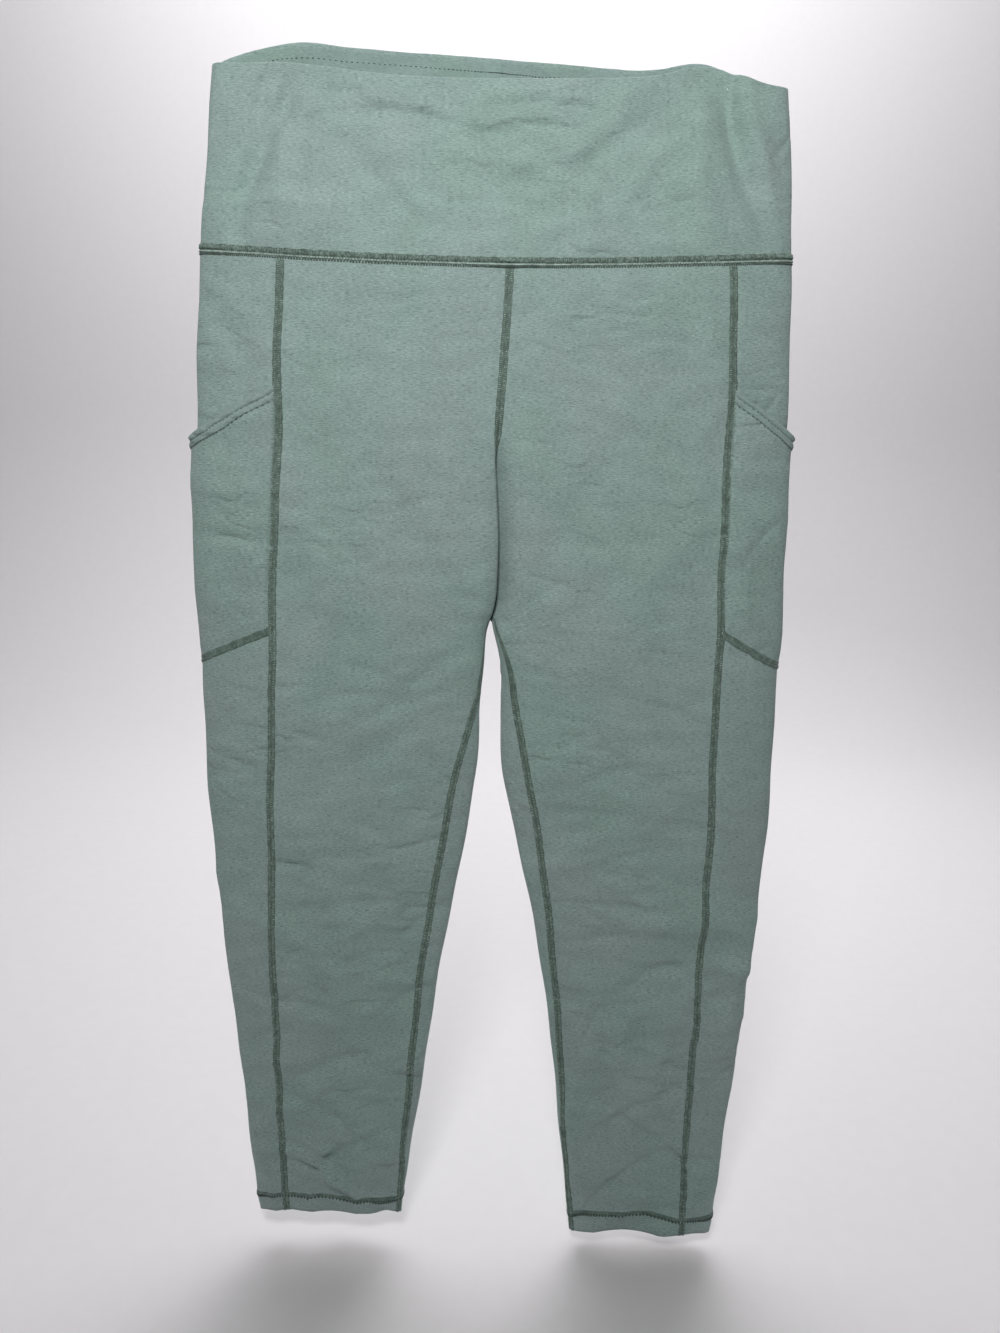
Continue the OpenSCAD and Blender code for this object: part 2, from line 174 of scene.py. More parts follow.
# How far the slack top edge rises beside a clip and sags in the middle.
CLIP_LIFT = 0.0045
EDGE_SAG = 0.0015
# How far the edges of a hem hang lower, and the inner corner is drawn in.
HEM_DROOP = 0.0040
HEM_INSET = 0.0010
# The crease between the legs: how far its cloth and its lip reach, how far the lower leg's
# cloth and lip sink, and how far the upper leg's cloth laps over and stands out, and its lip
# sinks.
CREASE_REACH, LIP_REACH = 0.013, 0.0058
LOWER_SINK, LOWER_LIP = 0.0100, 0.0040
UPPER_LAP, UPPER_STAND, UPPER_LIP = 0.0042, 0.0024, 0.0055


def curve(stations, d):
    """Smooth curve through stations of drop and value."""
    xs, ys = np.array(stations, float).T
    slope = np.empty(len(xs))
    slope[1:-1] = (ys[2:] - ys[:-2]) / (xs[2:] - xs[:-2])
    slope[0], slope[-1] = ((ys[k + 1] - ys[k]) / (xs[k + 1] - xs[k]) for k in (0, len(xs) - 2))
    i = np.clip(np.searchsorted(xs, d, side="right") - 1, 0, len(xs) - 2)
    h = xs[i + 1] - xs[i]
    t = (d - xs[i]) / h
    t2, t3 = t * t, t * t * t
    return (
        ys[i] * (2 * t3 - 3 * t2 + 1)
        + h * slope[i] * (t3 - 2 * t2 + t)
        + ys[i + 1] * (3 * t2 - 2 * t3)
        + h * slope[i + 1] * (t3 - t2)
    )


def ease(t):
    k = np.clip(t, 0, 1)
    return k * k * (3 - 2 * k)


def mix(a, b, t):
    return a + (b - a) * t


def hump(value, centre, width):
    return np.exp(-(((value - centre) / width) ** 2))


def lobe(c, power=ROUND_POWER):
    return np.maximum(0, 1 - np.abs(c) ** power) ** (1 / power)


def unit(v):
    return v / np.maximum(np.linalg.norm(v, axis=-1, keepdims=True), 1e-12)


def grids(*values):
    return np.broadcast_arrays(*(np.asarray(value, float) for value in values))


def sample(table, fi, fj):
    """Value of a table at fractional row fi and column fj."""
    i, j = fi.astype(int), fj.astype(int)
    a, b = fi - i, fj - j
    return ((1 - a) * ((1 - b) * table[i, j] + b * table[i, j + 1])
            + a * ((1 - b) * table[i + 1, j] + b * table[i + 1, j + 1]))


# Larger folds: across, height, half length, half width and depth in tenths of a millimetre,
# and turn in degrees.
FRONT_FOLDS = (
    (-1500, -200, 220, 50, -30, 68), (-1340, -300, 220, 45, -28, 97),
    (-960, -170, 180, 40, -26, -10), (1415, -260, 340, 38, -34, 95), (1530, -300, 300, 60, 20, 108),
    (-40, -1500, 440, 48, -20, 86), (-1156, -8120, 260, 60, 42, -42),
    (-1510, -480, 500, 70, -46, 66), (-1380, -600, 400, 85, 30, 84),
    (-1180, -580, 400, 120, 34, 92), (-880, -520, 460, 80, -30, -40),
    (-720, -620, 400, 60, 18, -34), (-700, -200, 480, 32, 18, -7), (-600, -280, 550, 36, -22, -5),
    (300, -220, 450, 45, -26, -3), (100, -360, 500, 60, -26, 4), (-180, -480, 750, 90, 24, -6),
    (350, -560, 500, 70, -20, 12), (720, -380, 450, 80, -30, 32), (930, -520, 400, 70, 22, 48),
    (1210, -580, 420, 110, 34, 96), (1460, -500, 500, 85, -42, 112), (1640, -660, 340, 80, 20, 104),
    (-1680, -800, 340, 80, -22, 78), (-300, -830, 800, 90, -13, 5), (600, -900, 600, 80, 12, -7),
    (-1000, -1400, 600, 120, -12, -58), (-180, -1600, 500, 100, -18, 82),
    (300, -1500, 600, 140, 12, 72), (-1680, -1600, 340, 60, -16, -50),
    (-1750, -1820, 220, 45, 12, 40), (-400, -3000, 700, 130, -26, -64),
    (400, -2900, 700, 130, -22, 66), (-850, -3300, 800, 150, 18, -52),
    (900, -3300, 800, 150, 16, 55), (-520, -3850, 450, 60, -14, 38),
    (-660, -4050, 360, 50, -12, 20), (-900, -4400, 600, 100, -16, 34),
    (900, -4400, 600, 110, -16, -32), (600, -5000, 500, 90, -12, 28),
    (-1100, -5200, 600, 80, -14, 10), (-1100, -5620, 600, 60, -15, 5),
    (980, -5600, 620, 45, -18, -2), (1040, -5850, 520, 50, -13, 5),
    (-1200, -6060, 500, 55, -14, -8), (-1200, -6550, 500, 60, -15, -16),
    (1180, -6400, 480, 60, -15, 12), (1240, -6900, 500, 55, -16, -22),
    (-1240, -7020, 480, 55, -16, 26), (-1300, -7450, 440, 50, -17, -30),
    (1200, -7380, 460, 55, -18, 34), (1420, -7720, 420, 45, -18, -40),
    (-1180, -7850, 440, 45, -19, 40), (-1460, -8000, 320, 40, -14, -20),
    (1100, -8060, 380, 45, -16, 44),
)
BACK_FOLDS = (
    (-1100, -600, 450, 120, 20, 92), (1200, -600, 450, 110, 20, 88), (-200, -500, 800, 110, -16, 3),
    (0, -3000, 600, 100, -14, 88), (-800, -3300, 800, 130, -12, 28),
    (800, -3350, 800, 130, -12, -28), (-1100, -5600, 600, 60, -12, 4),
    (1100, -5700, 600, 60, -12, -6), (-1200, -5900, 500, 50, -10, -8),
    (1200, -6000, 500, 50, -10, 9), (-1250, -7500, 450, 60, -10, 22),
    (1250, -7600, 450, 60, -10, -24),
)
CREASE_SEED = 41
TENTHS = 10000


def large_folds(table):
    return tuple((*(part / TENTHS for part in row), turn) for *row, turn in table)


def small_creases(count, seed):
    """Short shallow creases, mostly level, closer together by the pockets, knees and ankles."""
    rng = np.random.RandomState(seed)
    rows = []
    while len(rows) < count:
        z = -rng.uniform(0.02, 0.84)
        x = rng.uniform(-0.2, 0.2)
        busy = 0.35 + 0.5 * math.exp(-(((z + 0.30) / 0.07) ** 2)) * (abs(x) > 0.14)
        busy += 0.45 * math.exp(-(((z + 0.58) / 0.05) ** 2)) + 0.6 * (z < -0.68)
        if rng.uniform() < busy:
            rows.append(
                (x, z, rng.uniform(0.012, 0.030), rng.uniform(0.0018, 0.0044),
                 rng.uniform(-0.0019, 0.0009), rng.normal(0, 28))
            )
    return tuple(rows)


def crumple(x, z, seed):
    """Soft crumpling all over: warped ridges in many directions, stronger in the lower legs."""
    rng = np.random.RandomState(seed)
    total = np.zeros_like(x)
    for _ in range(16):
        turn, wave = rng.uniform(0, np.pi), rng.uniform(0.045, 0.125)
        k = 2 * np.pi / wave
        phase, warp = rng.uniform(0, 6.3, 6), rng.uniform(0.5, 1.3)
        u = x * np.cos(turn) + z * np.sin(turn)
        v = -x * np.sin(turn) + z * np.cos(turn)
        ridge = 1 - np.abs(np.sin(k / 2 * u + warp * np.sin(0.45 * k * v + phase[0]) + phase[1]))
        patch = np.clip(np.sin(19 * u + phase[2]) * np.sin(15 * v + phase[3]) + 0.15, 0, 1)
        total += 0.024 * wave * ridge ** 1.6 * patch
    busy = 0.55 + 1.75 * ease((-z - 0.46) / 0.2) + 0.25 * hump(z, -0.05, 0.04)
    busy += 0.5 * ease((np.abs(x) - 0.145) / 0.02) * hump(z, -0.27, 0.09)
    return total * busy


class FoldMap:
    """Height that folds and creases add to one face of the cloth, kept as a map."""

    STEP = 0.0012
    WEST, EAST, SOUTH, NORTH = -0.225, 0.225, -0.885, 0.03

    def __init__(self, folds, seed):
        xs = np.arange(self.WEST, self.EAST, self.STEP)
        zs = np.arange(self.SOUTH, self.NORTH, self.STEP)
        x, z = np.meshgrid(xs, zs, indexing="ij")
        high = 0.0007 * np.sin(31 * x + 23 * z + 1.3) * np.sin(17 * x - 37 * z + 0.4)
        high += crumple(x, z, seed)
        for fx, fz, reach, width, depth, turn in folds:
            c, s = math.cos(math.radians(turn)), math.sin(math.radians(turn))
            span = 1.7 * reach + 3 * width
            i0, i1 = np.searchsorted(xs, (fx - span, fx + span))
            j0, j1 = np.searchsorted(zs, (fz - span, fz + span))
            dx, dz = x[i0:i1, j0:j1] - fx, z[i0:i1, j0:j1] - fz
            u = (dx * c + dz * s) / reach
            v = (-dx * s + dz * c + 0.12 * reach * u * u) / width
            # The lower legs are folded deeper.
            deeper = 1 + 0.6 * ease((-fz - 0.66) / 0.06)
            high[i0:i1, j0:j1] += deeper * depth * (1 - 0.9 * v) * np.exp(-v * v - u ** 4)
        self.high = high

    def at(self, x, z):
        rows, cols = self.high.shape
        return sample(self.high, np.clip((x - self.WEST) / self.STEP, 0, rows - 1.001),
                      np.clip((z - self.SOUTH) / self.STEP, 0, cols - 1.001))


class Half:
    """One half of the garment. d is the drop below the top edge, g the angle round the half:
    0 at the centre front or inner leg, 180 at the side, 360 at the back."""

    maps = ()

    def __init__(self, name):
        self.sign = SIDES[name]
        z, hang = sizes(), HANG[name]
        leg = z.total_length - z.rise
        self.band, self.rise, self.end = z.band_height, z.rise, z.total_length + hang["hem"]
        self.hip = self.band + 0.444 * (self.rise - self.band)
        self.crease = self.band + 0.53 * (self.rise - self.band)
        thigh, knee = self.rise + 0.235 * leg, self.rise + 0.52 * leg
        shin = self.rise + 0.76 * leg
        self.tip, self.top = self.rise + GUSSET_DOWN, self.rise - GUSSET_UP
        seam, hip, across_thigh, across_knee, hem = hang["outer"]
        self.outer_line = [(0, z.top_width / 2), (self.band, seam), (self.hip, hip),
                           (thigh, across_thigh), (knee, across_knee), (self.end, hem)]
        at_tip, at_thigh, at_knee, at_hem = hang["inner"]
        self.fork_half = at_tip
        self.inner_line = [(self.tip, at_tip), (thigh, at_thigh), (knee, at_knee),
                           (self.end, at_hem)]
        self.depth_line = [(0, z.top_depth / 2), (self.band, 0.42 * z.hip_depth),
                           (self.hip, z.hip_depth / 2), (thigh, z.thigh_depth / 2),
                           (knee, mix(z.thigh_depth, z.hem_depth, 0.45) / 2),
                           (self.end, z.hem_depth / 2)]
        fork = self.rise
        self.side_line = list(zip((0, self.band, self.hip, fork, thigh, knee, shin, self.end),
                                  hang["side"]))
        self.inset_line = list(zip((self.tip, thigh, knee, shin + 0.03, self.end), hang["inset"]))
        self.mouth, self.base = hang["mouth"], hang["base"]
        self.clip, self.clip_bump, self.droop = z.clip_spacing / 2, *hang["clip"]
        self.swing = hang["swing"]
        if not Half.maps:
            Half.maps = tuple(FoldMap(large_folds(table) + small_creases(z.folds, seed), seed)
                              for table, seed in ((FRONT_FOLDS, CREASE_SEED),
                                                  (BACK_FOLDS, CREASE_SEED + 1)))

    def outer(self, d):
        return curve(self.outer_line, d)

    def inner(self, d):
        t = 1 - (d - self.rise) / (self.tip - self.rise)
        fork = self.fork_half * (1 - t * t)
        leg = curve(self.inner_line, d)
        return np.where(d <= self.rise, 0, np.where(d < self.tip, fork, leg))

    def parting(self, d, x):
        u = np.clip((d - self.crease) / (self.rise - self.crease), 0, 1)
        centre = np.where(d >= self.rise, 1, 1 - np.sqrt(1 - u ** 2.2))
        away = ease((d - self.crease + 0.03) / (self.tip + 0.02 - self.crease))
        return mix(centre, away, ease(x / 0.08))

    @staticmethod
    def is_back(g):
        return ((g > 180) & (g <= 360)) | (g < 0)

    def bare(self, d, g):
        """The hanging shape without folds, with x growing to the side."""
        o, i = self.outer(d), self.inner(d)
        a, c = (o - i) / 2, np.cos(np.radians(g))
        x = (o + i) / 2 - a * c
        w = self.parting(d, x)
        full = ease((d - self.crease + 0.02) / 0.05) * (1 - ease((d - self.rise) / 0.07))
        leg = lobe(c, ROUND_POWER + 0.9 * full * ease(c / 0.6) * ~self.is_back(g))
        y = curve(self.depth_line, d) * ((1 - w) * lobe(x / o) + w * leg)
        u, v = (np.abs(x) - self.clip) / 0.026, d / 0.040
        y = y * (1 - PINCH * np.exp(-u * u - v * v))
        back = self.is_back(g)
        q = 1 - (x / o) ** 2
        front_drop = -FRONT_SAG * q * np.where(
            d < self.band, 1, np.maximum(0, 1 - (d - self.band) / (self.crease - self.band)))
        # The slack top edge between the clips sags, and rises to each clip.
        sag = hump(d, 0, 0.03) * (
            CLIP_LIFT * hump(x, self.clip, 0.030) - EDGE_SAG * q)
        # The back edge climbs steeply from the side and stands above the front between the clips.
        high = BACK_RISE + self.swing * np.minimum(1, x / 0.08)
        climb = mix(q, 1 - np.abs(x / o) ** 9, self.sign < 0)
        back_rise = high * climb * np.maximum(0, 1 - d / self.crease)
        z = -d + np.where(back, back_rise, front_drop + sag)
        # The corner beyond a clip droops, and the inner and outer edges of a hem hang lower.
        tilt = self.clip_bump * hump(x, self.clip, 0.018)
        tilt = tilt - self.droop * ease((x - self.clip - 0.005) / 0.050)
        z = z + tilt * hump(d, 0, 0.050)
        z = z - HEM_DROOP * np.abs(c) ** 6 * ease((d - self.end + 0.024) / 0.024)
        return np.stack([x, np.where(back, y, -y), z], axis=-1)

    def point(self, d, g):
        d, g = grids(d, g)
        p = self.bare(d, g)
        x, z = p[..., 0] * self.sign, p[..., 2]
        back = self.is_back(g)
        face = np.minimum(1, np.abs(p[..., 1]) / 0.004)
        quiet = 1 - hump(d, self.band, 0.007)
        lift = np.where(back, self.maps[1].at(x, z), self.maps[0].at(x, z)) * face * quiet
        p[..., 1] += np.where(back, lift, -lift)
        # The centre crease bows a little to the wearer's left.
        bow = curve(CENTRE_LINE, np.minimum(d, 0.5))
        uneven = mix(ease(np.abs(x) / 0.03), 1, ease((d - self.rise) / 0.03))
        p[..., 0] = (x + bow * hump(x, 0, 0.06)
                     + uneven * self.sign * 0.0007 * np.sin(61 * z + self.sign) * np.sin(23 * z)
                     + 0.0012 * np.sin(9 * (z + 0.1)) * ease(-z / 0.3))
        # The inner corner of a hem is drawn in a little.
        turned = ease((d - self.end + 0.012) / 0.012) * np.maximum(0, -np.cos(np.radians(g)))
        p[..., 0] -= self.sign * HEM_INSET * turned
        # One leg's cloth lies over the other's along the crease.
        there = ~back * ease((d - self.crease + 0.028) / 0.05)
        there = there * (1 - ease((d - self.rise + 0.014) / 0.026))
        near, edge = (there * hump(x, 0, reach) for reach in (CREASE_REACH, LIP_REACH))
        gap = 0.0004 + 0.0022 * hump(d, 0.322, 0.022)
        if self.sign > 0:
            p[..., 0] += near * gap
            p[..., 1] += LOWER_SINK * near + LOWER_LIP * edge
        else:
            # The upper leg's cloth turns in at its lip to meet the other's at the seam.
            lip = ease(g / 13)
            p[..., 0] += mix(there * gap, UPPER_LAP * near, lip)
            p[..., 1] += mix(there * (LOWER_SINK + LOWER_LIP),
                             UPPER_LIP * edge - UPPER_STAND * near, lip)
        return p

    def normal(self, d, g):
        d, g = grids(d, g)
        body = d < self.rise
        centre = body & (np.cos(np.radians(g)) > 0.99995)
        back = self.is_back(g)
        lo = np.where(body & ~back, np.maximum(g - 2, 0), g - 2)
        hi = np.where(body & back & (g > 180), np.minimum(g + 2, 360), g + 2)
        hi = np.where(body & (g < 0), np.minimum(hi, -0.001), hi)
        along = self.point(d, hi) - self.point(d, lo)
        flat = np.zeros_like(along)
        flat[..., 0] = np.where(back, -1, 1) * self.sign
        along = np.where(centre[..., None], flat, along)
        low = np.where(centre, np.minimum(d + 0.001, self.rise - 1e-5), d + 0.001)
        down = self.point(low, g) - self.point(d - 0.001, g)
        return unit(np.cross(down, along)) * self.sign

    def skin(self, d, g, height=0.0):
        d, g, height = grids(d, g, height)
        return self.point(d, g) + height[..., None] * self.normal(d, g)

    def arc(self, d, g):
        """Distance round the half from angle 0 to g, for the cloth's own pattern."""
        if not hasattr(self, "_arc"):
            ds = np.linspace(0, self.end, 60)
            gs = np.linspace(-60, 420, 241)
            p = self.bare(*np.meshgrid(ds, gs, indexing="ij"))
            step = np.minimum(np.linalg.norm(np.diff(p, axis=1), axis=-1), 0.02)
            total = np.concatenate([np.zeros((60, 1)), np.cumsum(step, axis=1)], axis=1)
            self._arc = (ds, gs, total - total[:, 30:31])
        ds, gs, total = self._arc
        return sample(total, np.clip(d / ds[-1] * 59, 0, 58.999),
                      np.clip((g + 60) / 2, 0, 239.999))

    # Seam lines that run down the garment, as angles.
    def angle_in(self, d, inset):
        a = (self.outer(d) - self.inner(d)) / 2
        return np.degrees(np.arccos(np.clip(1 - inset / a, -1, 1)))

    def front_side(self, d):
        return 180 - self.angle_in(d, curve(self.side_line, d))

    def back_side(self, d):
        return 360 - self.front_side(d)

    def inseam(self, d):
        return self.angle_in(d, curve(self.inset_line, d))

    def gusset_front(self, u):
        return self.angle_in(mix(self.top, self.tip, u), self.inset_line[0][1] * u ** 1.2)

    def gusset_back(self, u):
        end = self.gusset_front(np.asarray(1.0))
        return 22 * np.sin(np.pi * u ** 0.8) - end * u ** 3

    def front_inner(self, d):
        u = np.clip((d - self.top) / (self.tip - self.top), 0, 1)
        return np.where(d <= self.top, 0, np.where(d < self.tip, self.gusset_front(u),
                                                   self.inseam(d)))

    def back_inner(self, d):
        u = np.clip((d - self.top) / (self.tip - self.top), 0, 1)
        return np.where(d <= self.top, 360, np.where(d < self.tip, 360 - self.gusset_back(u),
                                                     360 + self.inseam(d)))

    def slant(self, s, level):
        """Part of a pocket line's drop at s, so that the line looks straight from each face."""
        seam = np.radians(self.front_side(np.asarray(level + 0.02)))
        edge = np.pi - seam
        face = np.minimum(s, 1 - s) * 2
        part = (np.cos(seam) - np.cos(seam + edge * face)) / (np.cos(seam) + 1)
        part = mix(part, face, 0.25)
        return np.where(s < 0.5, part / 2, 1 - part / 2)

    def mouth_d(self, s):
        return self.mouth[0] + self.mouth[1] * self.slant(s, self.mouth[0])

    def base_d(self, s):
        level, drop, bow = self.base
        return level + drop * self.slant(s, level) + bow * np.sin(2 * np.pi * s)

    def side_g(self, d, s):
        return mix(self.front_side(d), self.back_side(d), s)


halves = {}


def half(name):
    if name not in halves:
        halves[name] = Half(name)
    return halves[name]


# Cloth meshes -------------------------------------------------------------------------------


def link(name, mesh):
    piece = bpy.data.objects.new(name, mesh)
    bpy.context.scene.collection.objects.link(piece)
    return piece


def mesh_from(bm, name):
    mesh = bpy.data.meshes.new(name)
    bm.to_mesh(mesh)
    bm.free()
    mesh.shade_smooth()
    return mesh


def dress(piece, look, slot, *nodes):
    piece.data.materials.append(finish(look))
    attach(piece, "root")
    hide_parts(*nodes)
    return piece


def cloth_grid(name, node, rows, cols, place, wall, look="body knit", slot="knit_cloth",
               flip=False, weld=False):
    """A finished grid of cloth, wall thick. place(r, s) gives each point and its place in the
    knit; r runs down and s across."""
    bm = bmesh.new()
    bmesh.ops.create_grid(bm, x_segments=cols, y_segments=rows, size=0.5)
    co = np.array([v.co[:] for v in bm.verts])
    points, pattern = place(0.5 - co[:, 1], co[:, 0] + 0.5)
    layer = bm.loops.layers.uv.new("knit")
    for v, p in zip(bm.verts, points):
        v.co = p
    for face in bm.faces:
        for loop in face.loops:
            loop[layer].uv = pattern[loop.vert.index]
    if weld:
        bmesh.ops.remove_doubles(bm, verts=bm.verts, dist=1e-6)
    if flip:
        bmesh.ops.reverse_faces(bm, faces=bm.faces)
    piece = link(name, mesh_from(bm, name))
    modifier = piece.modifiers.new("wall", "SOLIDIFY")
    modifier.thickness, modifier.offset, modifier.use_even_offset = wall, -1.0, False
    return dress(piece, look, slot, node)


def pattern_of(across, down):
    return np.stack([across, down], axis=-1)


def flat_size(side, d0, d1, ga, gb):
    """Width, length and area of a panel's flat cut, from the arcs across it."""
    ds = np.linspace(d0, d1, 60)
    wide = side.arc(ds, gb(ds)) - side.arc(ds, ga(ds))
    return float(wide.max()), float(d1 - d0), float(np.trapz(wide, ds))


def rows_for(tall):
    return max(6, int(round(tall / sizes().weave)))


def panel(node, side, d0, d1, ga, gb, rows, cols):
    """A panel between two levels and two seam lines. d0 and d1 may slant with s."""

    def place(r, s):
        d = mix(d0(s), d1(s), r)
        g = mix(ga(d), gb(d), s)
        return side.skin(d, g), pattern_of(side.sign * side.arc(d, g), -d)

    return cloth_grid(node + "_cloth", node, rows, cols, place, sizes().cloth,
                      flip=side.sign < 0)


def const(value):
    return lambda s: np.full_like(np.asarray(s, float), value)


# Seams and threads --------------------------------------------------------------------------

# Each thread's own lean, slide and size differ from its neighbours' by these amounts.
LEAN, SLIDE = 0.07, 0.06
REACH_RANGE, WIDTH_RANGE, RISE_RANGE = (0.86, 1.08), (0.82, 1.1), (0.75, 1.2)
THREADS_AT_ONCE = 48


def bar(bm, middle, along, outward, reach, width, rise):
    """One stitch: a small rounded bar of thread lying on the cloth."""
    outward = Vector(unit(np.asarray(outward) - np.dot(outward, along) * np.asarray(along)))
    along = Vector(along)
    third = outward.cross(along)
    turn = Matrix((along * reach, third * width, outward * rise)).transposed().to_4x4()
    turn.translation = Vector(middle)
    bmesh.ops.create_icosphere(bm, subdivisions=1, radius=1.0, matrix=turn)


def thread_row(skin, a, b, step, height, foot=0.0, lift=0.001):
    """Middles, directions and outward directions of a row of stitches at a, b on a skin."""
    da, db = step
    return (skin(a, b, height), skin(a + da, b + db, foot) - skin(a - da, b - db, foot),
            skin(a, b, foot + lift) - skin(a, b, foot))


def threads(name, node, look, rows, reach, width, rise, seed):
    """Rows of stitches as one piece."""
    rng = np.random.RandomState(seed)
    middles, alongs, outwards = (np.concatenate(part) for part in zip(*rows))
    alongs, outwards = unit(alongs), unit(outwards)
    whole, scrap = bmesh.new(), bpy.data.meshes.new("scrap")
    for start in range(0, len(middles), THREADS_AT_ONCE):
        bm = bmesh.new()
        for middle, along, outward in zip(*(v[start:start + THREADS_AT_ONCE]
                                            for v in (middles, alongs, outwards))):
            along = unit(along + np.cross(outward, along) * rng.normal(0, LEAN))
            bar(bm, middle + along * rng.normal(0, reach * SLIDE), along, outward,
                reach * rng.uniform(*REACH_RANGE), width * rng.uniform(*WIDTH_RANGE),
                rise * rng.uniform(*RISE_RANGE))
        bm.to_mesh(scrap)
        bm.free()
        whole.from_mesh(scrap)
    bpy.data.meshes.remove(scrap)
    return dress(link(name, mesh_from(whole, name)), look, "seam_thread", node)


# Section of a flatlock seam: half widths across, and height in millimetres.
SEAM_CROSS = ((-1.06, -0.35), (-0.9, 0.28), (-0.5, 0.42), (-0.08, 0.12), (0.08, 0.12), (0.5, 0.42),
              (0.9, 0.28), (1.06, -0.35))
SEAM_WALL = 0.0004
# Where the two rows of a flatlock seam's threads lie across it, and how far one lags.
THREAD_ROWS = ((-0.52, 0.0), (0.52, 0.35))


class Seam:
    """A flatlock seam down one half: drop and angle along it, and the step across it."""

    def __init__(self, name, side, start, end, angle):
        self.name, self.side, self.start, self.end, self.angle = name, side, start, end, angle
        self.half_width = sizes().seam_half

    def across(self, d, g):
        """Angle that spans half the seam's width. The pocket's layers widen a side seam, and
        the gusset's seams are narrow at the fork."""
        a, b = self.side.point(d, g - 1), self.side.point(d, g + 1)
        layers = 1 + 0.3 * hump(d, 0.232, 0.05) * ("side_seam" in self.name)
        if "gusset" in self.name:
            layers = mix(0.40, 1.0, ease((d - self.side.rise) / (self.side.tip - self.side.rise)))
        return layers * self.half_width / np.maximum(np.linalg.norm(b - a, axis=-1) / 2, 0.00002)

    def at(self, r, k, height):
        """Point at part r of the seam's length, k half widths across, at a height."""
        d = mix(self.start, self.end, r)
        g = self.angle(d)
        return self.side.skin(d, g + k * self.across(d, g), height)

    def length(self):
        p = self.at(np.linspace(0, 1, 120), 0.0, 0.0)
        return float(np.linalg.norm(np.diff(p, axis=0), axis=1).sum())

    def ribbon(self, node, tall, rows, fuzz=0.0, seed=0):
        """The seam's two raised bands, with wavy edges; their dark yarn is partly thread colour and
        partly painted shade along the seam.
        """
        ks, hs = zip(*SEAM_CROSS)
        count = len(ks)

        def place(r, s):
            x = s * (count - 1)
            k = np.interp(x, range(count), ks)
            h = np.interp(x, range(count), [high * MILLIMETRE for high in hs])
            wave = 1 + fuzz * np.sin(r * tall * 900 + seed) + fuzz * np.sin(r * tall * 2300)
            return self.at(r, k * wave, h), pattern_of(k * self.half_width, -r * tall)

        cloth_grid(self.name + "_ribbon", node, rows, count - 1, place, SEAM_WALL, "seam yarn",
                   "seam_thread", flip=self.side.sign < 0)

    def build(self, seed):
        tall = self.length()
        self.ribbon(self.name, tall, max(8, int(tall / 0.0022)), 0.05, seed)
        count = int(tall / sizes().stitch_pitch)
        r = (np.arange(count) + 0.5) / count
        rows = [thread_row(self.at, np.clip(r + lag / count, 0, 1), k, (0, 0.3), 0.00048)
                for k, lag in THREAD_ROWS]
        threads(self.name + "_stitches", self.name, "thread", rows, 0.40 * self.half_width,
                0.00034, 0.00036, seed)


class LevelSeam(Seam):
    """A seam across the side panel, at the pocket's base."""

    def at(self, r, k, height):
        d = self.side.base_d(r) + k * self.half_width
        return self.side.skin(d, self.side.side_g(d, r), height)


class CentreSeam(Seam):
    """A centre seam of the body, which runs over both halves."""

    def __init__(self, name, start, end, back):
        super().__init__(name, half("left"), start, end, None)
        self.back = back

    def at(self, r, k, height):
        d, k, height = grids(mix(self.start, self.end, np.asarray(r, float)), k, height)
        # The crease swallows the end of the front seam.
        taper = 1 if self.back else mix(1, 0.3, ease((d - self.end) / 0.026 + 1))
        points = []
        for name in SIDES:
            side = half(name)
            g = np.degrees(np.arccos(np.clip(
                1 - 2 * (self.half_width * taper) * np.abs(k) / side.outer(d), -1, 1)))
            points.append(side.skin(d, 360 - g if self.back else g, height))
        left = (k > 0) != self.back
        return np.where(left[..., None], points[0], points[1])


def around(u):
    """Angle round each half for u, which runs once round the body over the left side first."""
    u = np.mod(u, 1)
    return u <= 0.5, np.where(u <= 0.5, 720 * u, 720 * (1 - u))


def body_skin(d, u, height):
    d, u, height = grids(d, u, height)
    left, g = around(u)
    return np.where(left[..., None], *(half(name).skin(d, g, height) for name in SIDES))


def body_arc(d, u):
    left, g = around(u)
    return np.where(left, half("left").arc(d, g), -half("right").arc(d, g))


# Finishes -----------------------------------------------------------------------------------


def add(tree, kind, inputs=(), **settings):
    node = tree.nodes.new(kind)
    for key, value in settings.items():
        setattr(node, key, value)
    for key, value in dict(inputs).items():
        socket = node.inputs[key]
        if isinstance(value, bpy.types.NodeSocket):
            tree.links.new(value, socket)
        else:
            socket.default_value = value
    return node


def sums(tree, operation, a, b=0.0, c=0.0):
    return add(tree, "ShaderNodeMath", {0: a, 1: b, 2: c}, operation=operation).outputs[0]


def between(tree, value, low, high, a=0.0, b=1.0):
    return add(tree, "ShaderNodeMapRange", {"Value": value, "From Min": low, "From Max": high,
               "To Min": a, "To Max": b}, interpolation_type="SMOOTHSTEP").outputs[0]


def blend_colour(tree, amount, a, b):
    node = add(tree, "ShaderNodeMix", data_type="RGBA")
    for index, value in ((0, amount), (6, a), (7, b)):
        if isinstance(value, bpy.types.NodeSocket):
            tree.links.new(value, node.inputs[index])
        else:
            node.inputs[index].default_value = value
    return node.outputs[2]


def stretch(tree, vector, scale, shift=(0, 0, 0)):
    return add(tree, "ShaderNodeMapping", {"Vector": vector, "Scale": scale,
                                           "Location": shift}).outputs[0]


def noise(tree, vector, scale, detail=2.0, rough=0.5):
    return add(tree, "ShaderNodeTexNoise", {"Vector": vector, "Scale": scale, "Detail": detail,
               "Roughness": rough}, noise_dimensions="3D").outputs[0]


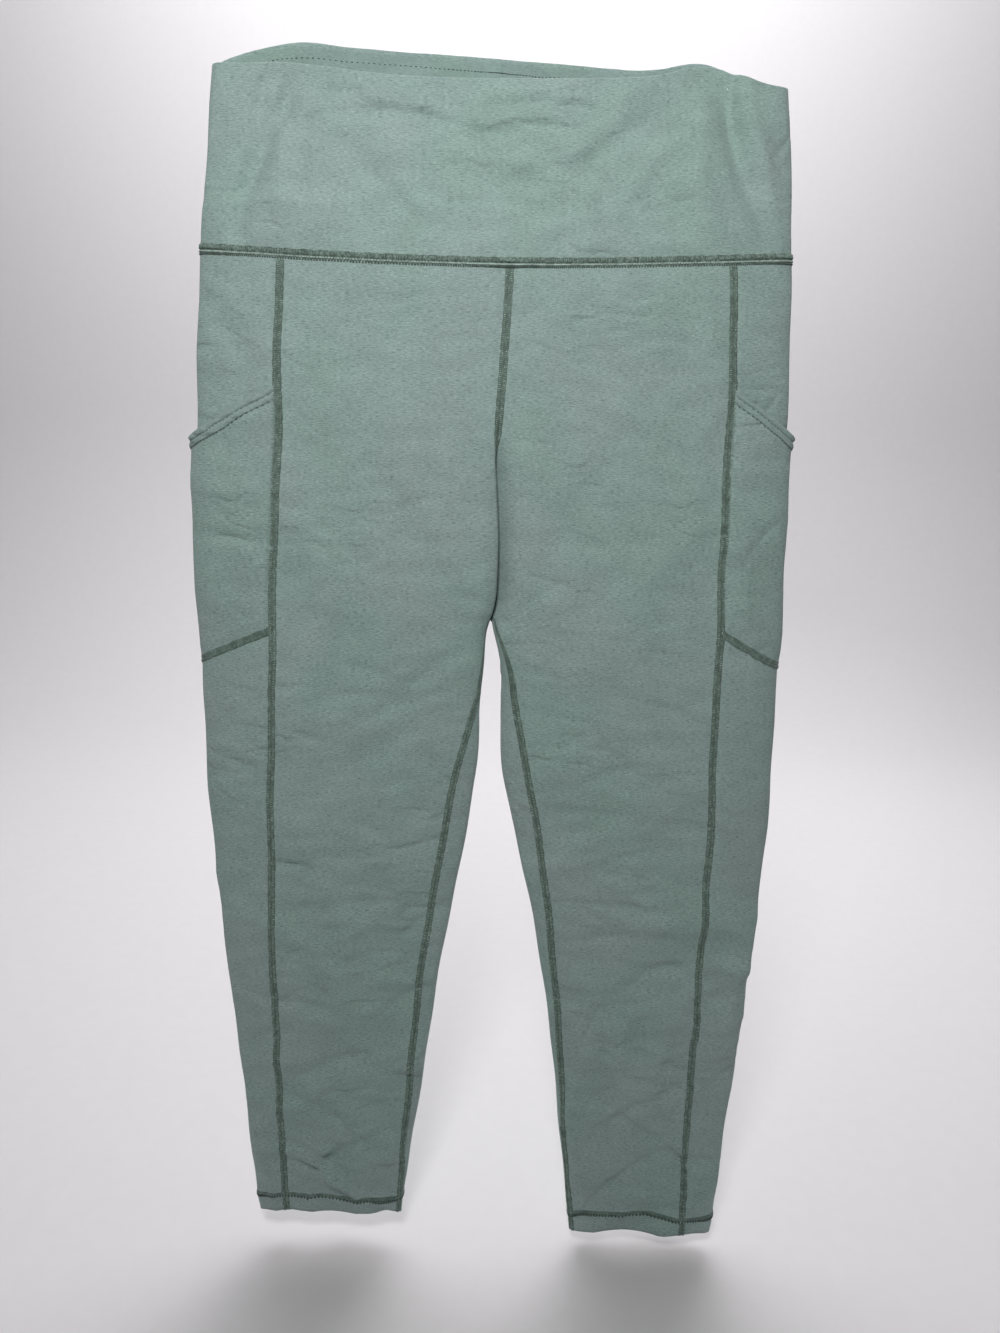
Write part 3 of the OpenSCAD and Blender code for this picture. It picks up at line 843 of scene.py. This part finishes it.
def new_group(name, inputs, outputs):
    """A shader group with its input and output sockets, each given as a label and a kind."""
    group = bpy.data.node_groups.new(name, "ShaderNodeTree")
    kinds = {"c": "NodeSocketColor", "f": "NodeSocketFloat", "v": "NodeSocketVector"}
    for in_out, sockets in (("INPUT", inputs), ("OUTPUT", outputs)):
        for label, kind in sockets.items():
            group.interface.new_socket(label, in_out=in_out, socket_type=kinds[kind])
    return group, group.nodes.new("NodeGroupInput").outputs, group.nodes.new("NodeGroupOutput")


def give(tree, node, values):
    for label, value in values.items():
        tree.links.new(value, node.inputs[label])


def heather_group():
    """Brushed heathered knit: pale and dark flecks, courses, wales, soft mottling and painted shade
    between the loops.
    """
    group, given, out = new_group(
        "Heather knit",
        {"Place": "v", "Base": "c", "Light": "c", "Dark": "c", "Flecks": "f", "Ribs": "f"},
        {"Colour": "c", "Height": "f", "Creases": "f", "Roughness": "f"})
    place, ribs = given["Place"], given["Ribs"]

    def grain(scale, shift=(0, 0, 0), detail=2.0, rough=0.5):
        return noise(group, stretch(group, place, (*scale, 1), shift), 1.0, detail, rough)

    def times(a, b):
        return sums(group, "MULTIPLY", a, b)

    def loops(scale, distortion, direction):
        return add(group, "ShaderNodeTexWave", {
            "Vector": place, "Scale": scale, "Distortion": distortion, "Detail": 1.0,
        }, wave_type="BANDS", bands_direction=direction).outputs["Fac"]

    fleck = grain((400, 1900), detail=3.0, rough=0.65)
    fleck_b = grain((280, 1500), (7.3, 3.1, 0), 3.0, 0.6)
    pale = between(group, fleck, 0.46, 0.66)
    deep = between(group, fleck_b, 0.48, 0.72)
    colour = blend_colour(group, times(pale, given["Flecks"]), given["Base"], given["Light"])
    colour = blend_colour(group, times(deep, given["Flecks"]), colour, given["Dark"])
    mottle, cast = grain((40, 90), detail=4.0, rough=0.55), grain((11, 9))
    colour = add(group, "ShaderNodeHueSaturation", {
        "Color": colour, "Value": between(group, mottle, 0.3, 0.7, 0.94, 1.06),
        "Hue": between(group, cast, 0.35, 0.65, 0.508, 0.486),
        "Saturation": between(group, cast, 0.35, 0.65, 0.96, 1.18)}).outputs[0]
    stitch = times(loops(330.0, 1.6, "Y"), loops(400.0, 1.2, "X"))
    # The hollows between knit loops are darkened as painted shade.
    hollow_shade = between(group, stitch, 0.0, 0.35, 0.22, 0.0)
    colour = blend_colour(group, times(hollow_shade, ribs), colour, given["Dark"])
    height = sums(group, "MULTIPLY_ADD", stitch, times(ribs, 0.5), fleck)
    height = sums(group, "MULTIPLY_ADD", noise(group, place, 2600.0, 2.0), 0.5, height)
    bent = add(group, "ShaderNodeMapping", {"Vector": place, "Rotation": (0, 0, 0.35),
                                            "Scale": (17, 34, 1)}).outputs[0]
    folds = noise(group, bent, 1.0, 3.0, 0.5)
    sharp = sums(group, "ABSOLUTE", sums(group, "SUBTRACT", folds, 0.5))
    where = between(group, grain((9, 12), (3, 5, 0), 1.0), 0.45, 0.68)
    creases = sums(group, "MULTIPLY_ADD", between(group, sharp, 0.0, 0.09), where,
                   times(grain((38, 60), (1, 2, 0)), 0.8))
    give(group, out, {"Creases": creases, "Colour": colour, "Height": height,
                      "Roughness": between(group, fleck, 0.3, 0.7, 0.82, 0.97)})
    return group


def yarn_group():
    """Thread: fine plies along it, with pale spots painted on as highlights."""
    group, given, out = new_group(
        "Fuzzy yarn", {"Place": "v", "Base": "c", "Worn": "c", "Wear": "f", "Scale": "f"},
        {"Colour": "c", "Height": "f", "Roughness": "f"})
    coarse = noise(group, given["Place"], sums(group, "MULTIPLY", given["Scale"], 0.25), 2.0)
    fine = noise(group, given["Place"], given["Scale"], 2.0, 0.6)
    # The pale spots blended in here are painted highlights on the thread.
    worn = sums(group, "MULTIPLY", between(group, fine, 0.42, 0.68), given["Wear"])
    colour = blend_colour(group, worn, given["Base"], given["Worn"])
    colour = add(group, "ShaderNodeHueSaturation", {
        "Color": colour, "Value": between(group, coarse, 0.3, 0.7, 0.78, 1.22)}).outputs[0]
    give(group, out, {"Colour": colour, "Height": fine,
                      "Roughness": between(group, fine, 0.3, 0.7, 0.7, 0.92)})
    return group


def rgba(colour, level=1.0):
    return (*[c * level for c in colour], 1.0)


def new_material(name):
    material = bpy.data.materials.new(name)
    material.use_nodes = True
    tree = material.node_tree
    return material, tree, tree.nodes["Principled BSDF"]


def textile(name, group, maker, place_kind, place_out, given, bumps, fixed):
    """A material whose colour, roughness and heights come from a shared group. bumps lists the
    heights as label, strength and distance, the coarsest first."""
    material, tree, shader = new_material(name)
    settings = {"uv_map": "knit"} if place_kind == "ShaderNodeUVMap" else {}
    place = add(tree, place_kind, **settings).outputs[place_out]
    source = add(tree, "ShaderNodeGroup", {"Place": place, **given},
                 node_tree=bpy.data.node_groups.get(group) or maker())
    normal = {}
    for label, strength, distance in bumps:
        bump = add(tree, "ShaderNodeBump", {"Height": source.outputs[label], "Strength": strength,
                                            "Distance": distance, **normal})
        normal = {"Normal": bump.outputs[0]}
    give(tree, shader, {"Base Color": source.outputs["Colour"],
                        "Roughness": source.outputs["Roughness"], **normal})
    for label, value in fixed.items():
        shader.inputs[label].default_value = value
    return material


def knit(name, level, flecks, ribs, depth, sheen):
    """Cloth that reads the knit's own place, so that the grain follows each panel."""
    tones = colours()
    return textile(
        name, "Heather knit", heather_group, "ShaderNodeUVMap", "UV",
        {"Base": rgba(tones.cloth, level), "Light": rgba(tones.light, level),
         "Dark": rgba(tones.dark, level), "Flecks": flecks, "Ribs": ribs},
        (("Creases", 0.6, 0.0016), ("Height", 0.55, depth)),
        {"Specular IOR Level": 0.18, "Sheen Weight": sheen, "Sheen Roughness": 0.55,
         "Sheen Tint": (0.82, 0.92, 0.88, 1)})


def yarn(name, base, base_level, worn, highlight_level, wear, scale, depth):
    return textile(
        name, "Fuzzy yarn", yarn_group, "ShaderNodeTexCoord", "Object",
        {"Base": rgba(base, base_level), "Worn": rgba(worn, highlight_level), "Wear": wear,
         "Scale": scale},
        (("Height", 0.5, depth),),
        {"Specular IOR Level": 0.25, "Sheen Weight": 0.25, "Sheen Roughness": 0.5})


# Knits: colour level, flecks, ribs, bump depth and sheen.
KNITS = {
    "body knit": (1.0, 0.9, 0.8, 0.0006, 0.28),
    "band knit": (1.02, 0.8, 0.6, 0.0005, 0.28),
    # The pocket knit's lower colour level is painted shade on the pockets.
    "pocket knit": (0.97, 0.95, 0.8, 0.0006, 0.28),
    # The lining's lower colour level is partly the knit's own back and partly painted shade inside
    # the band.
    "lining knit": (0.94, 0.5, 0.7, 0.0003, 0.2),
}
# Yarns: base colour and its level, painted highlight colour and its level, highlight share, scale
# and bump depth.
YARNS = {
    # The seam yarn's dark colour is partly the thread's own and partly painted shade along seams
    # and in the hem's stitch groove.
    "seam yarn": ("thread", 1.0, "thread_light", 1.0, 0.3, 900.0, 0.0003),
    "thread": ("thread_light", 0.58, "thread_light", 1.4, 1.0, 700.0, 0.0001),
    "overlock yarn": ("thread", 0.85, "thread_light", 1.0, 0.7, 620.0, 0.0003),
    "overlock thread": ("thread", 1.1, "thread_light", 1.0, 0.9, 760.0, 0.0001),
    "pale thread": ("thread_light", 1.15, "light", 1.0, 0.9, 1300.0, 0.0001),
    "dark thread": ("thread", 0.45, "thread", 0.8, 0.6, 1300.0, 0.0001),
    "elastic": ("light", 0.85, "light", 1.0, 0.6, 900.0, 0.0002),
}


def finish(name):
    """The named material, made the first time it is asked for."""
    made = bpy.data.materials.get(name)
    if made:
        return made
    if name in KNITS:
        return knit(name, *KNITS[name])
    base, base_level, worn, *rest = YARNS[name]
    tones = colours()
    return yarn(name, getattr(tones, base), base_level, getattr(tones, worn), *rest)


# Steps, one for each piece or group of like pieces ------------------------------------------


class LEGGING_OT_waistband(bpy.types.Operator):
    """Make the folded waistband, its elastic, and the stitch line inside the top edge"""

    bl_idname = "legging.waistband"
    bl_label = "Waistband"

    def strip(self, name, start, end):
        """One folded strip: up the inside, over the fold and down the outside."""
        z = sizes()
        low = z.band_height + 0.0006
        fold = (0.0030, 0.0014, 0.0005, 0.0001, 0.0, 0.0001, 0.0005, 0.0014, 0.0030)
        path_d = (low - 0.001, *fold, low)
        path_h = [-part * z.band_wall
                  for part in (1, 1, 1, 0.93, 0.72, 0.5, 0.28, 0.07, 0, 0, 0)]
        steps = (0, 0.44, 0.46, 0.475, 0.488, 0.5, 0.512, 0.525, 0.54, 0.56, 1)

        def place(r, s):
            u = mix(start, end, s)
            d = np.interp(r, steps, path_d)
            skin = body_skin(d, u, np.interp(r, steps, path_h))
            return skin, pattern_of(body_arc(d, u), np.where(r < 0.5, d, -d))

        piece = cloth_grid(name + "_cloth", name, 110, 150, place, z.cloth, "band knit")
        # The inside of the band gets the lining knit, darker partly as painted shade.
        piece.data.materials.append(finish("lining knit"))
        inside = fold[0] - 0.0008
        flat = piece.data.uv_layers["knit"].uv
        for face in piece.data.polygons:
            face.material_index = int(flat[face.loop_start].vector[1] > inside)
        ds = np.linspace(0, low, 40)
        wide = sum(half(side).arc(ds, np.full_like(ds, 180.0)) for side in SIDES)

    def execute(self, context):
        z = sizes()
        self.strip("waistband_front", -0.25, 0.25)
        self.strip("waistband_back", 0.25, 0.75)

        def elastic(r, s):
            d = mix(z.cloth + 0.0009, z.cloth + z.elastic_height, r)
            return body_skin(d, s, -z.cloth - 0.0001), pattern_of(body_arc(d, s), -d)

        cloth_grid("waist_elastic_band", "waist_elastic", 6, 160, elastic, 0.0004, "elastic",
                   "elastic", weld=True)
        count = 330
        row = thread_row(body_skin, z.top_stitch_drop, (np.arange(count) + 0.5) / count,
                         (0, 0.001), -z.band_wall - 0.0001, -z.band_wall, -0.001)
        threads("top_edge_stitch_line", "top_edge_stitch", "dark thread", [row], 0.0008, 0.0003,
                0.00028, 5)
        return {"FINISHED"}


class LEGGING_OT_waist_seam(bpy.types.Operator):
    """Make the overlocked seam that joins the waistband to the body"""

    bl_idname = "legging.waist_seam"
    bl_label = "Waist seam"

    # Section down the seam, and heights in tenths of a millimetre.
    PARTS = (0, 0.05, 0.2, 0.45, 0.54, 0.60, 0.70, 0.80, 0.86, 0.94, 1.0)
    HEIGHTS = (-4, 4, 8, 6, -1, 3, 5, 3, -1, 1, -4)
    # Rows of thread: name, part down the seam, height, step along or down, reach, width, look.
    ALONG, DOWN = (0, 0.0006), (0.0006, 0)
    ROWS = (("waist_seam_overlock", 0.28, 0.00078, DOWN, 0.00170, 0.00036, "overlock thread"),
            ("waist_seam_ridge", 0.68, 0.00064, ALONG, 0.00105, 0.00066, "pale thread"),
            ("waist_seam_line", 0.90, 0.00034, ALONG, 0.00058, 0.00080, "dark thread"))

    def execute(self, context):
        z = sizes()
        top, tall = z.band_height - z.waist_seam_width / 3, z.waist_seam_width
        heights = [high / 10000 for high in self.HEIGHTS]

        def place(r, s):
            wave = 0.0002 * np.sin(s * 2 * np.pi * 90) + 0.00015 * np.sin(s * 2 * np.pi * 211)
            d = top + r * tall + wave * np.where((r < 0.1) | (r > 0.9), 1, 0)
            return (body_skin(d, s, np.interp(r, self.PARTS, heights)),
                    pattern_of(body_arc(d, s), -d))

        cloth_grid("waist_seam_ribbon", "waist_seam", 16, 420, place, SEAM_WALL, "overlock yarn",
                   "seam_thread", weld=True)
        count = 640
        u = (np.arange(count) + 0.5) / count
        for name, part, height, step, reach, width, look in self.ROWS:
            row = thread_row(body_skin, top + part * tall, u, step, height, height)
            threads(name, "waist_seam", look, [row], reach, width, 0.00036, 8)
        return {"FINISHED"}


class LEGGING_OT_panels(bpy.types.Operator):
    """Make the front and back panels of both legs"""

    bl_idname = "legging.panels"
    bl_label = "Front and back panels"

    def execute(self, context):
        for name in SIDES:
            side = half(name)
            top, end = side.band, side.end
            for part, ga, gb, cols in (("front", side.front_inner, side.front_side, 48),
                                       ("back", side.back_side, side.back_inner, 60)):
                piece = panel(part + "_panel_" + name, side, const(top), const(end), ga, gb,
                              rows_for(end - top), cols)
                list(flat_size(side, top, end, ga, gb))
        return {"FINISHED"}


class LEGGING_OT_side_panels(bpy.types.Operator):
    """Make the side yokes behind the pockets and the lower side panels"""

    bl_idname = "legging.side_panels"
    bl_label = "Side panels"

    def execute(self, context):
        for name in SIDES:
            side = half(name)
            lines = side.front_side, side.back_side
            top, base, end = side.band, side.base[0], side.end
            middle = side.base_d(0.5)
            yoke, lower = "side_yoke_" + name, "lower_side_panel_" + name
            for node, d0, d1, span, tall, hangs_from in (
                    (yoke, const(top), side.base_d, (top, middle), base - top, "waistband_back"),
                    (lower, side.base_d, const(end), (middle, end), end - base, yoke)):
                piece = panel(node, side, d0, d1, *lines, rows_for(tall), 26)
                wide, length_down, area = flat_size(side, *span, *lines)
        return {"FINISHED"}


def pocket_height(r, s):
    """Stand-off of the pocket front: widest at its mouth, flat at its edges."""
    q = np.abs(2 * s - 1)
    slack = sizes().pocket_gap * (1 - np.clip(r, 0, 1) ** 1.1)
    rest = 0.0002 + 0.0010 * ease((1 - q) / 0.14) * (1 - 0.7 * ease((r - 0.93) / 0.07))
    return rest + slack * np.maximum(0, 1 - q ** 3)


class LEGGING_OT_pockets(bpy.types.Operator):
    """Make the pocket fronts, their folded mouth hems and the base seams"""

    bl_idname = "legging.pockets"
    bl_label = "Pockets"

    # Part of the side panel's width left free at each seam.
    EDGE = 0.008
    # Section down the mouth hem, and heights in millimetres.
    PARTS = (0, 0.03, 0.1, 0.22, 0.36, 0.44, 0.48, 0.52, 0.62, 0.78, 0.93, 1.0)
    HEIGHTS = (-1.2, 0.3, 1.2, 1.7, 1.45, 0.8, 0.1, 0.6, 1.15, 1.3, 0.85, -0.2)

    def pocket(self, name, side):
        z, edge = sizes(), self.EDGE
        tall = side.base[0] - side.mouth[0]
        flip = side.sign < 0

        def front(r, s):
            t = mix(edge, 1 - edge, s)
            d = mix(side.mouth_d(t) + 0.0004, side.base_d(t) - 0.001, r)
            g = side.side_g(d, t)
            return (side.skin(d, g, pocket_height(r, t)),
                    pattern_of(side.sign * side.arc(d, g) + 0.3, -d))

        def hem(r, s):
            t = mix(edge, 1 - edge, s)
            d = side.mouth_d(t) + z.mouth_hem * np.clip(r, 0.0, 1.0)
            h = pocket_height((d - side.mouth_d(t)) / tall, t)
            h = h + np.interp(r, self.PARTS, self.HEIGHTS) * MILLIMETRE * (
                1 + 0.12 * np.sin(t * 61 + 9 * r) * np.sin(t * 23))
            g = side.side_g(d, t)
            return side.skin(d, g, h), pattern_of(side.sign * side.arc(d, g), -2 * d)

        # The pocket fronts' knit is a little darker as painted shade.
        piece = cloth_grid("pocket_front_" + name + "_cloth", "pocket_front_" + name,
                           rows_for(tall) * 2, 44, front, z.cloth * 0.9, "pocket knit", flip=flip)
        node = "pocket_mouth_hem_" + name
        roll = cloth_grid(node + "_roll", node, 36, 70, hem, 0.0005, flip=flip)
        wide, _, area = flat_size(side, side.mouth_d(0.5), side.base_d(0.5), side.front_side,
                                  side.back_side)

        count = int(wide / 0.0024)
        t = mix(edge + 0.01, 0.99 - edge, (np.arange(count) + 0.5) / count)

        def on_hem(part, shift, h):
            d = side.mouth_d(t + shift) + z.mouth_hem * part
            return side.skin(d, side.side_g(d, t + shift), pocket_height(0.0, t + shift) + h)

        upper = thread_row(on_hem, 0.48, 0, (0, 0.004), 0.00025)
        lower = (on_hem(1.0, 0, 0.0002), *upper[1:])
        threads("pocket_mouth_stitches_" + name, node, "dark thread", [upper, lower], 0.0011,
                0.0003, 0.0003, 11)
        LevelSeam("pocket_base_seam_" + name, side, edge, 1 - edge, None).build(13)

    def execute(self, context):
        for name in SIDES:
            self.pocket(name, half(name))
        return {"FINISHED"}


class LEGGING_OT_gusset(bpy.types.Operator):
    """Make the diamond gusset under the fork, and its seams"""

    bl_idname = "legging.gusset"
    bl_label = "Gusset"

    # Width of the flat diamond, and how near its ends come to the tips.
    WIDTH, REACH = 0.030, 0.995

    def seams(self, name, side):
        top, tip = side.top, side.tip

        def front(d):
            return side.gusset_front((d - top) / (tip - top))

        def back(d):
            return -side.gusset_back((d - top) / (tip - top))

        for label, angle, stop in (("", front, 1.0), ("back_", back, 0.8)):
            seam = Seam("gusset_seam_" + label + name, side, mix(top, tip, 0.27),
                        mix(top, tip, stop), angle)
            seam.ribbon("gusset_seam_" + name, seam.length(), 40)

    def execute(self, context):
        def place(r, s):
            u = mix(-self.REACH, self.REACH, s)
            k = np.abs(u)
            points, drops = [], []
            for name in SIDES:
                side = half(name)
                top, low = mix(side.top, side.tip, k), mix(side.rise, side.tip, k)
                d = low + (top - low) * np.abs(2 * r - 1) ** 1.5
                g = mix(side.gusset_front(k), -side.gusset_back(k), r)
                g = np.where(k < 0.001, np.where(r < 0.5, 0.001, -0.001), g)
                points.append(side.point(d, g))
                drops.append(-d)
            left = u >= 0
            return (np.where(left[..., None], *points),
                    pattern_of(mix(-0.05, 0.05, r), np.where(left, *drops)))

        piece = cloth_grid("gusset_cloth", "gusset", 28, 48, place, sizes().cloth)
        for name in SIDES:
            self.seams(name, half(name))
        return {"FINISHED"}


class LEGGING_OT_seams(bpy.types.Operator):
    """Make the flatlock seams that run down the body and legs"""

    bl_idname = "legging.seams"
    bl_label = "Flatlock seams"

    def execute(self, context):
        z = sizes()
        start = z.band_height + z.waist_seam_width * 2 / 3 + 0.0003
        CentreSeam("front_rise_seam", start, half("left").crease + 0.010, False).build(21)
        CentreSeam("back_rise_seam", start, z.rise - GUSSET_UP - 0.004, True).build(22)
        for index, name in enumerate(SIDES):
            side = half(name)
            for label, top, line, seed in (("front_side_seam_", start, side.front_side, 23),
                                           ("back_side_seam_", start, side.back_side, 26),
                                           ("inseam_", side.tip - 0.0004, side.inseam, 29)):
                Seam(label + name, side, top, side.end, line).build(seed + index)
        return {"FINISHED"}


class LEGGING_OT_hems(bpy.types.Operator):
    """Make the turned-up leg hems and their cover stitch"""

    bl_idname = "legging.hems"
    bl_label = "Leg hems"

    # Section across the cover stitch, and its width.
    PARTS = (0, 0.2, 0.5, 0.8, 1)
    HEIGHTS = (-0.0003, 0.0003, 0.0005, 0.0003, -0.0003)
    STITCH_WIDTH = 0.0050

    def hem(self, name, side):
        z = sizes()
        facing_node, stitch_node = "hem_facing_" + name, "hem_stitch_" + name
        options = {"flip": side.sign < 0, "weld": True}

        def turned(r, s):
            g = 360 * s
            d = mix(side.end - z.hem_turn, side.end, r)
            return side.skin(d, g, -z.cloth - 0.0001), pattern_of(side.arc(d, g), -d)

        def line_d(g):
            return (side.end - z.hem_stitch_height
                    + 0.0011 * np.sin(np.radians(g * 3 + 40 * side.sign)) + (
                        0.0007 * np.sin(np.radians(g * 7))))

        def groove(r, s):
            g = 360 * s
            d = line_d(g) + (r - 0.62) * self.STITCH_WIDTH
            return (side.skin(d, g, np.interp(r, self.PARTS, self.HEIGHTS)),
                    pattern_of(side.arc(side.end + 0 * g, g), -r * 0.003))

        facing = cloth_grid(facing_node + "_cloth", facing_node, 6, 120, turned, 0.0008,
                            **options)
        round_hem = float(side.arc(np.asarray(side.end), np.asarray(360.0)))
        # The groove under the hem's cover stitch is dark partly from painted shade.
        cloth_grid(stitch_node + "_ribbon", stitch_node, 6, 160, groove, 0.0003, "seam yarn",
                   "seam_thread", **options)
        count = int(round_hem / 0.0019)
        g = 360 * (np.arange(count) + 0.5) / count
        rows = [thread_row(side.skin, line_d(g) + low, g, (0, 0.6 * side.sign), 0.00038)
                for low in (0.0002, 0.0014)]
        threads(stitch_node + "_line", stitch_node, "dark thread", rows, 0.00090, 0.00062,
                0.00045, 31)

    def execute(self, context):
        for name in SIDES:
            self.hem(name, half(name))
        return {"FINISHED"}


class LEGGING_OT_studio(bpy.types.Operator):
    """Make the pale floor, the soft lights and the camera"""

    bl_idname = "legging.studio"
    bl_label = "Studio"

    def execute(self, context):
        scene = context.scene
        bm = bmesh.new()
        bmesh.ops.create_grid(bm, x_segments=2, y_segments=48, size=0.5)
        ground, wall, bend = -0.885, 1.9, 0.7
        across, run, flat = 7, 4.4, 2.2
        turn = bend * math.pi / 2
        for v in bm.verts:
            t = (v.co.y + 0.5) * run
            x = v.co.x * across
            if t < flat:
                v.co = (x, wall - bend - (flat - t) * 1.6, ground)
            elif t < flat + turn:
                a = (t - flat) / bend
                v.co = (x, wall - bend + bend * math.sin(a), ground + bend * (1 - math.cos(a)))
            else:
                v.co = (x, wall, ground + bend + (t - flat - turn) * 1.8)
        floor = link("floor", mesh_from(bm, "floor"))
        material, tree, shader = new_material("pale paper")
        grain = noise(tree, add(tree, "ShaderNodeTexCoord").outputs["Object"], 60.0, 4.0)
        tone = colours().floor
        shade = blend_colour(tree, between(tree, grain, 0.35, 0.65), rgba(tone, 0.985), rgba(tone))
        tree.links.new(shade, shader.inputs["Base Color"])
        tree.links.new(between(tree, grain, 0.3, 0.7, 0.85, 0.95), shader.inputs["Roughness"])
        floor.data.materials.append(material)

        def lamp(name, place, towards, power, size, colour):
            data = bpy.data.lights.new(name, "AREA")
            data.energy, data.size, data.color = power, size, colour
            light = bpy.data.objects.new(name, data)
            light.location = place
            light.rotation_euler = (Vector(towards) - Vector(place)).to_track_quat(
                "-Z", "Y").to_euler()
            scene.collection.objects.link(light)
        lamp("key", (-0.07, -0.73, 0.18), (-0.02, 0.0, -0.12), 5.3, 0.16, (1.0, 0.995, 0.97))
        lamp("back light", (0.4, 1.15, 0.45), (0.0, 0.0, -0.3), 6.5, 1.0, (1.0, 0.99, 0.98))
        lamp("wall wash", (0.0, 0.9, 1.4), (0.0, 1.9, 0.1), 46.0, 1.8, (1.0, 0.985, 1.0))

        world = bpy.data.worlds.new("studio")
        world.use_nodes = True
        sky = world.node_tree
        glow, seen = sky.nodes["Background"], sky.nodes.new("ShaderNodeBackground")
        glow.inputs[0].default_value, glow.inputs[1].default_value = (1.0, 0.97, 1.05, 1), 0.095
        seen.inputs[0].default_value, seen.inputs[1].default_value = (1.0, 0.99, 1.0, 1), 0.55
        pick = add(sky, "ShaderNodeMixShader", {
            0: add(sky, "ShaderNodeLightPath").outputs["Is Camera Ray"]})
        sky.links.new(glow.outputs[0], pick.inputs[1])
        sky.links.new(seen.outputs[0], pick.inputs[2])
        sky.links.new(pick.outputs[0], sky.nodes["World Output"].inputs[0])
        scene.world = world
        scene.view_settings.view_transform = "Standard"

        tip, roll = math.radians(14), math.radians(1)
        ahead = Vector((0, math.cos(tip), -math.sin(tip)))
        above = Vector((0, math.sin(tip), math.cos(tip)))
        right = Vector((1, 0, 0)) * math.cos(roll) + above * math.sin(roll)
        above = above * math.cos(roll) - Vector((1, 0, 0)) * math.sin(roll)
        data = bpy.data.cameras.new("camera")
        data.lens, data.sensor_width = 26, 36
        camera = bpy.data.objects.new("camera", data)
        turn = Matrix((right, above, -ahead)).transposed().to_4x4()
        camera.matrix_world = Matrix.Translation((0.0059, -0.670, -0.215)) @ turn
        scene.collection.objects.link(camera)
        scene.camera = camera
        return {"FINISHED"}


STEPS = (LEGGING_OT_waistband, LEGGING_OT_panels, LEGGING_OT_side_panels, LEGGING_OT_pockets,
         LEGGING_OT_gusset, LEGGING_OT_seams, LEGGING_OT_waist_seam, LEGGING_OT_hems,
         LEGGING_OT_studio)


class LEGGING_PT_panel(bpy.types.Panel):
    """Leggings in the sidebar"""

    bl_idname = "LEGGING_PT_panel"
    bl_label = "Leggings"
    bl_space_type = "VIEW_3D"
    bl_region_type = "UI"
    bl_category = "Leggings"

    def draw(self, context):
        for group in (context.scene.legging_sizes, context.scene.legging_colours):
            box = self.layout.box()
            for key in type(group).__annotations__:
                box.prop(group, key)
        for step in STEPS:
            self.layout.operator(step.bl_idname)


CLASSES = (LeggingSizes, LeggingColours, *STEPS, LEGGING_PT_panel)


def register():
    for cls in CLASSES:
        bpy.utils.register_class(cls)
    bpy.types.Scene.legging_sizes = PointerProperty(type=LeggingSizes)
    bpy.types.Scene.legging_colours = PointerProperty(type=LeggingColours)


def unregister():
    del bpy.types.Scene.legging_sizes
    del bpy.types.Scene.legging_colours
    for cls in reversed(CLASSES):
        bpy.utils.unregister_class(cls)


def main():
    register()
    for step in STEPS:
        group, name = step.bl_idname.split(".")
        getattr(getattr(bpy.ops, group), name)()


if __name__ == "__main__":
    main()
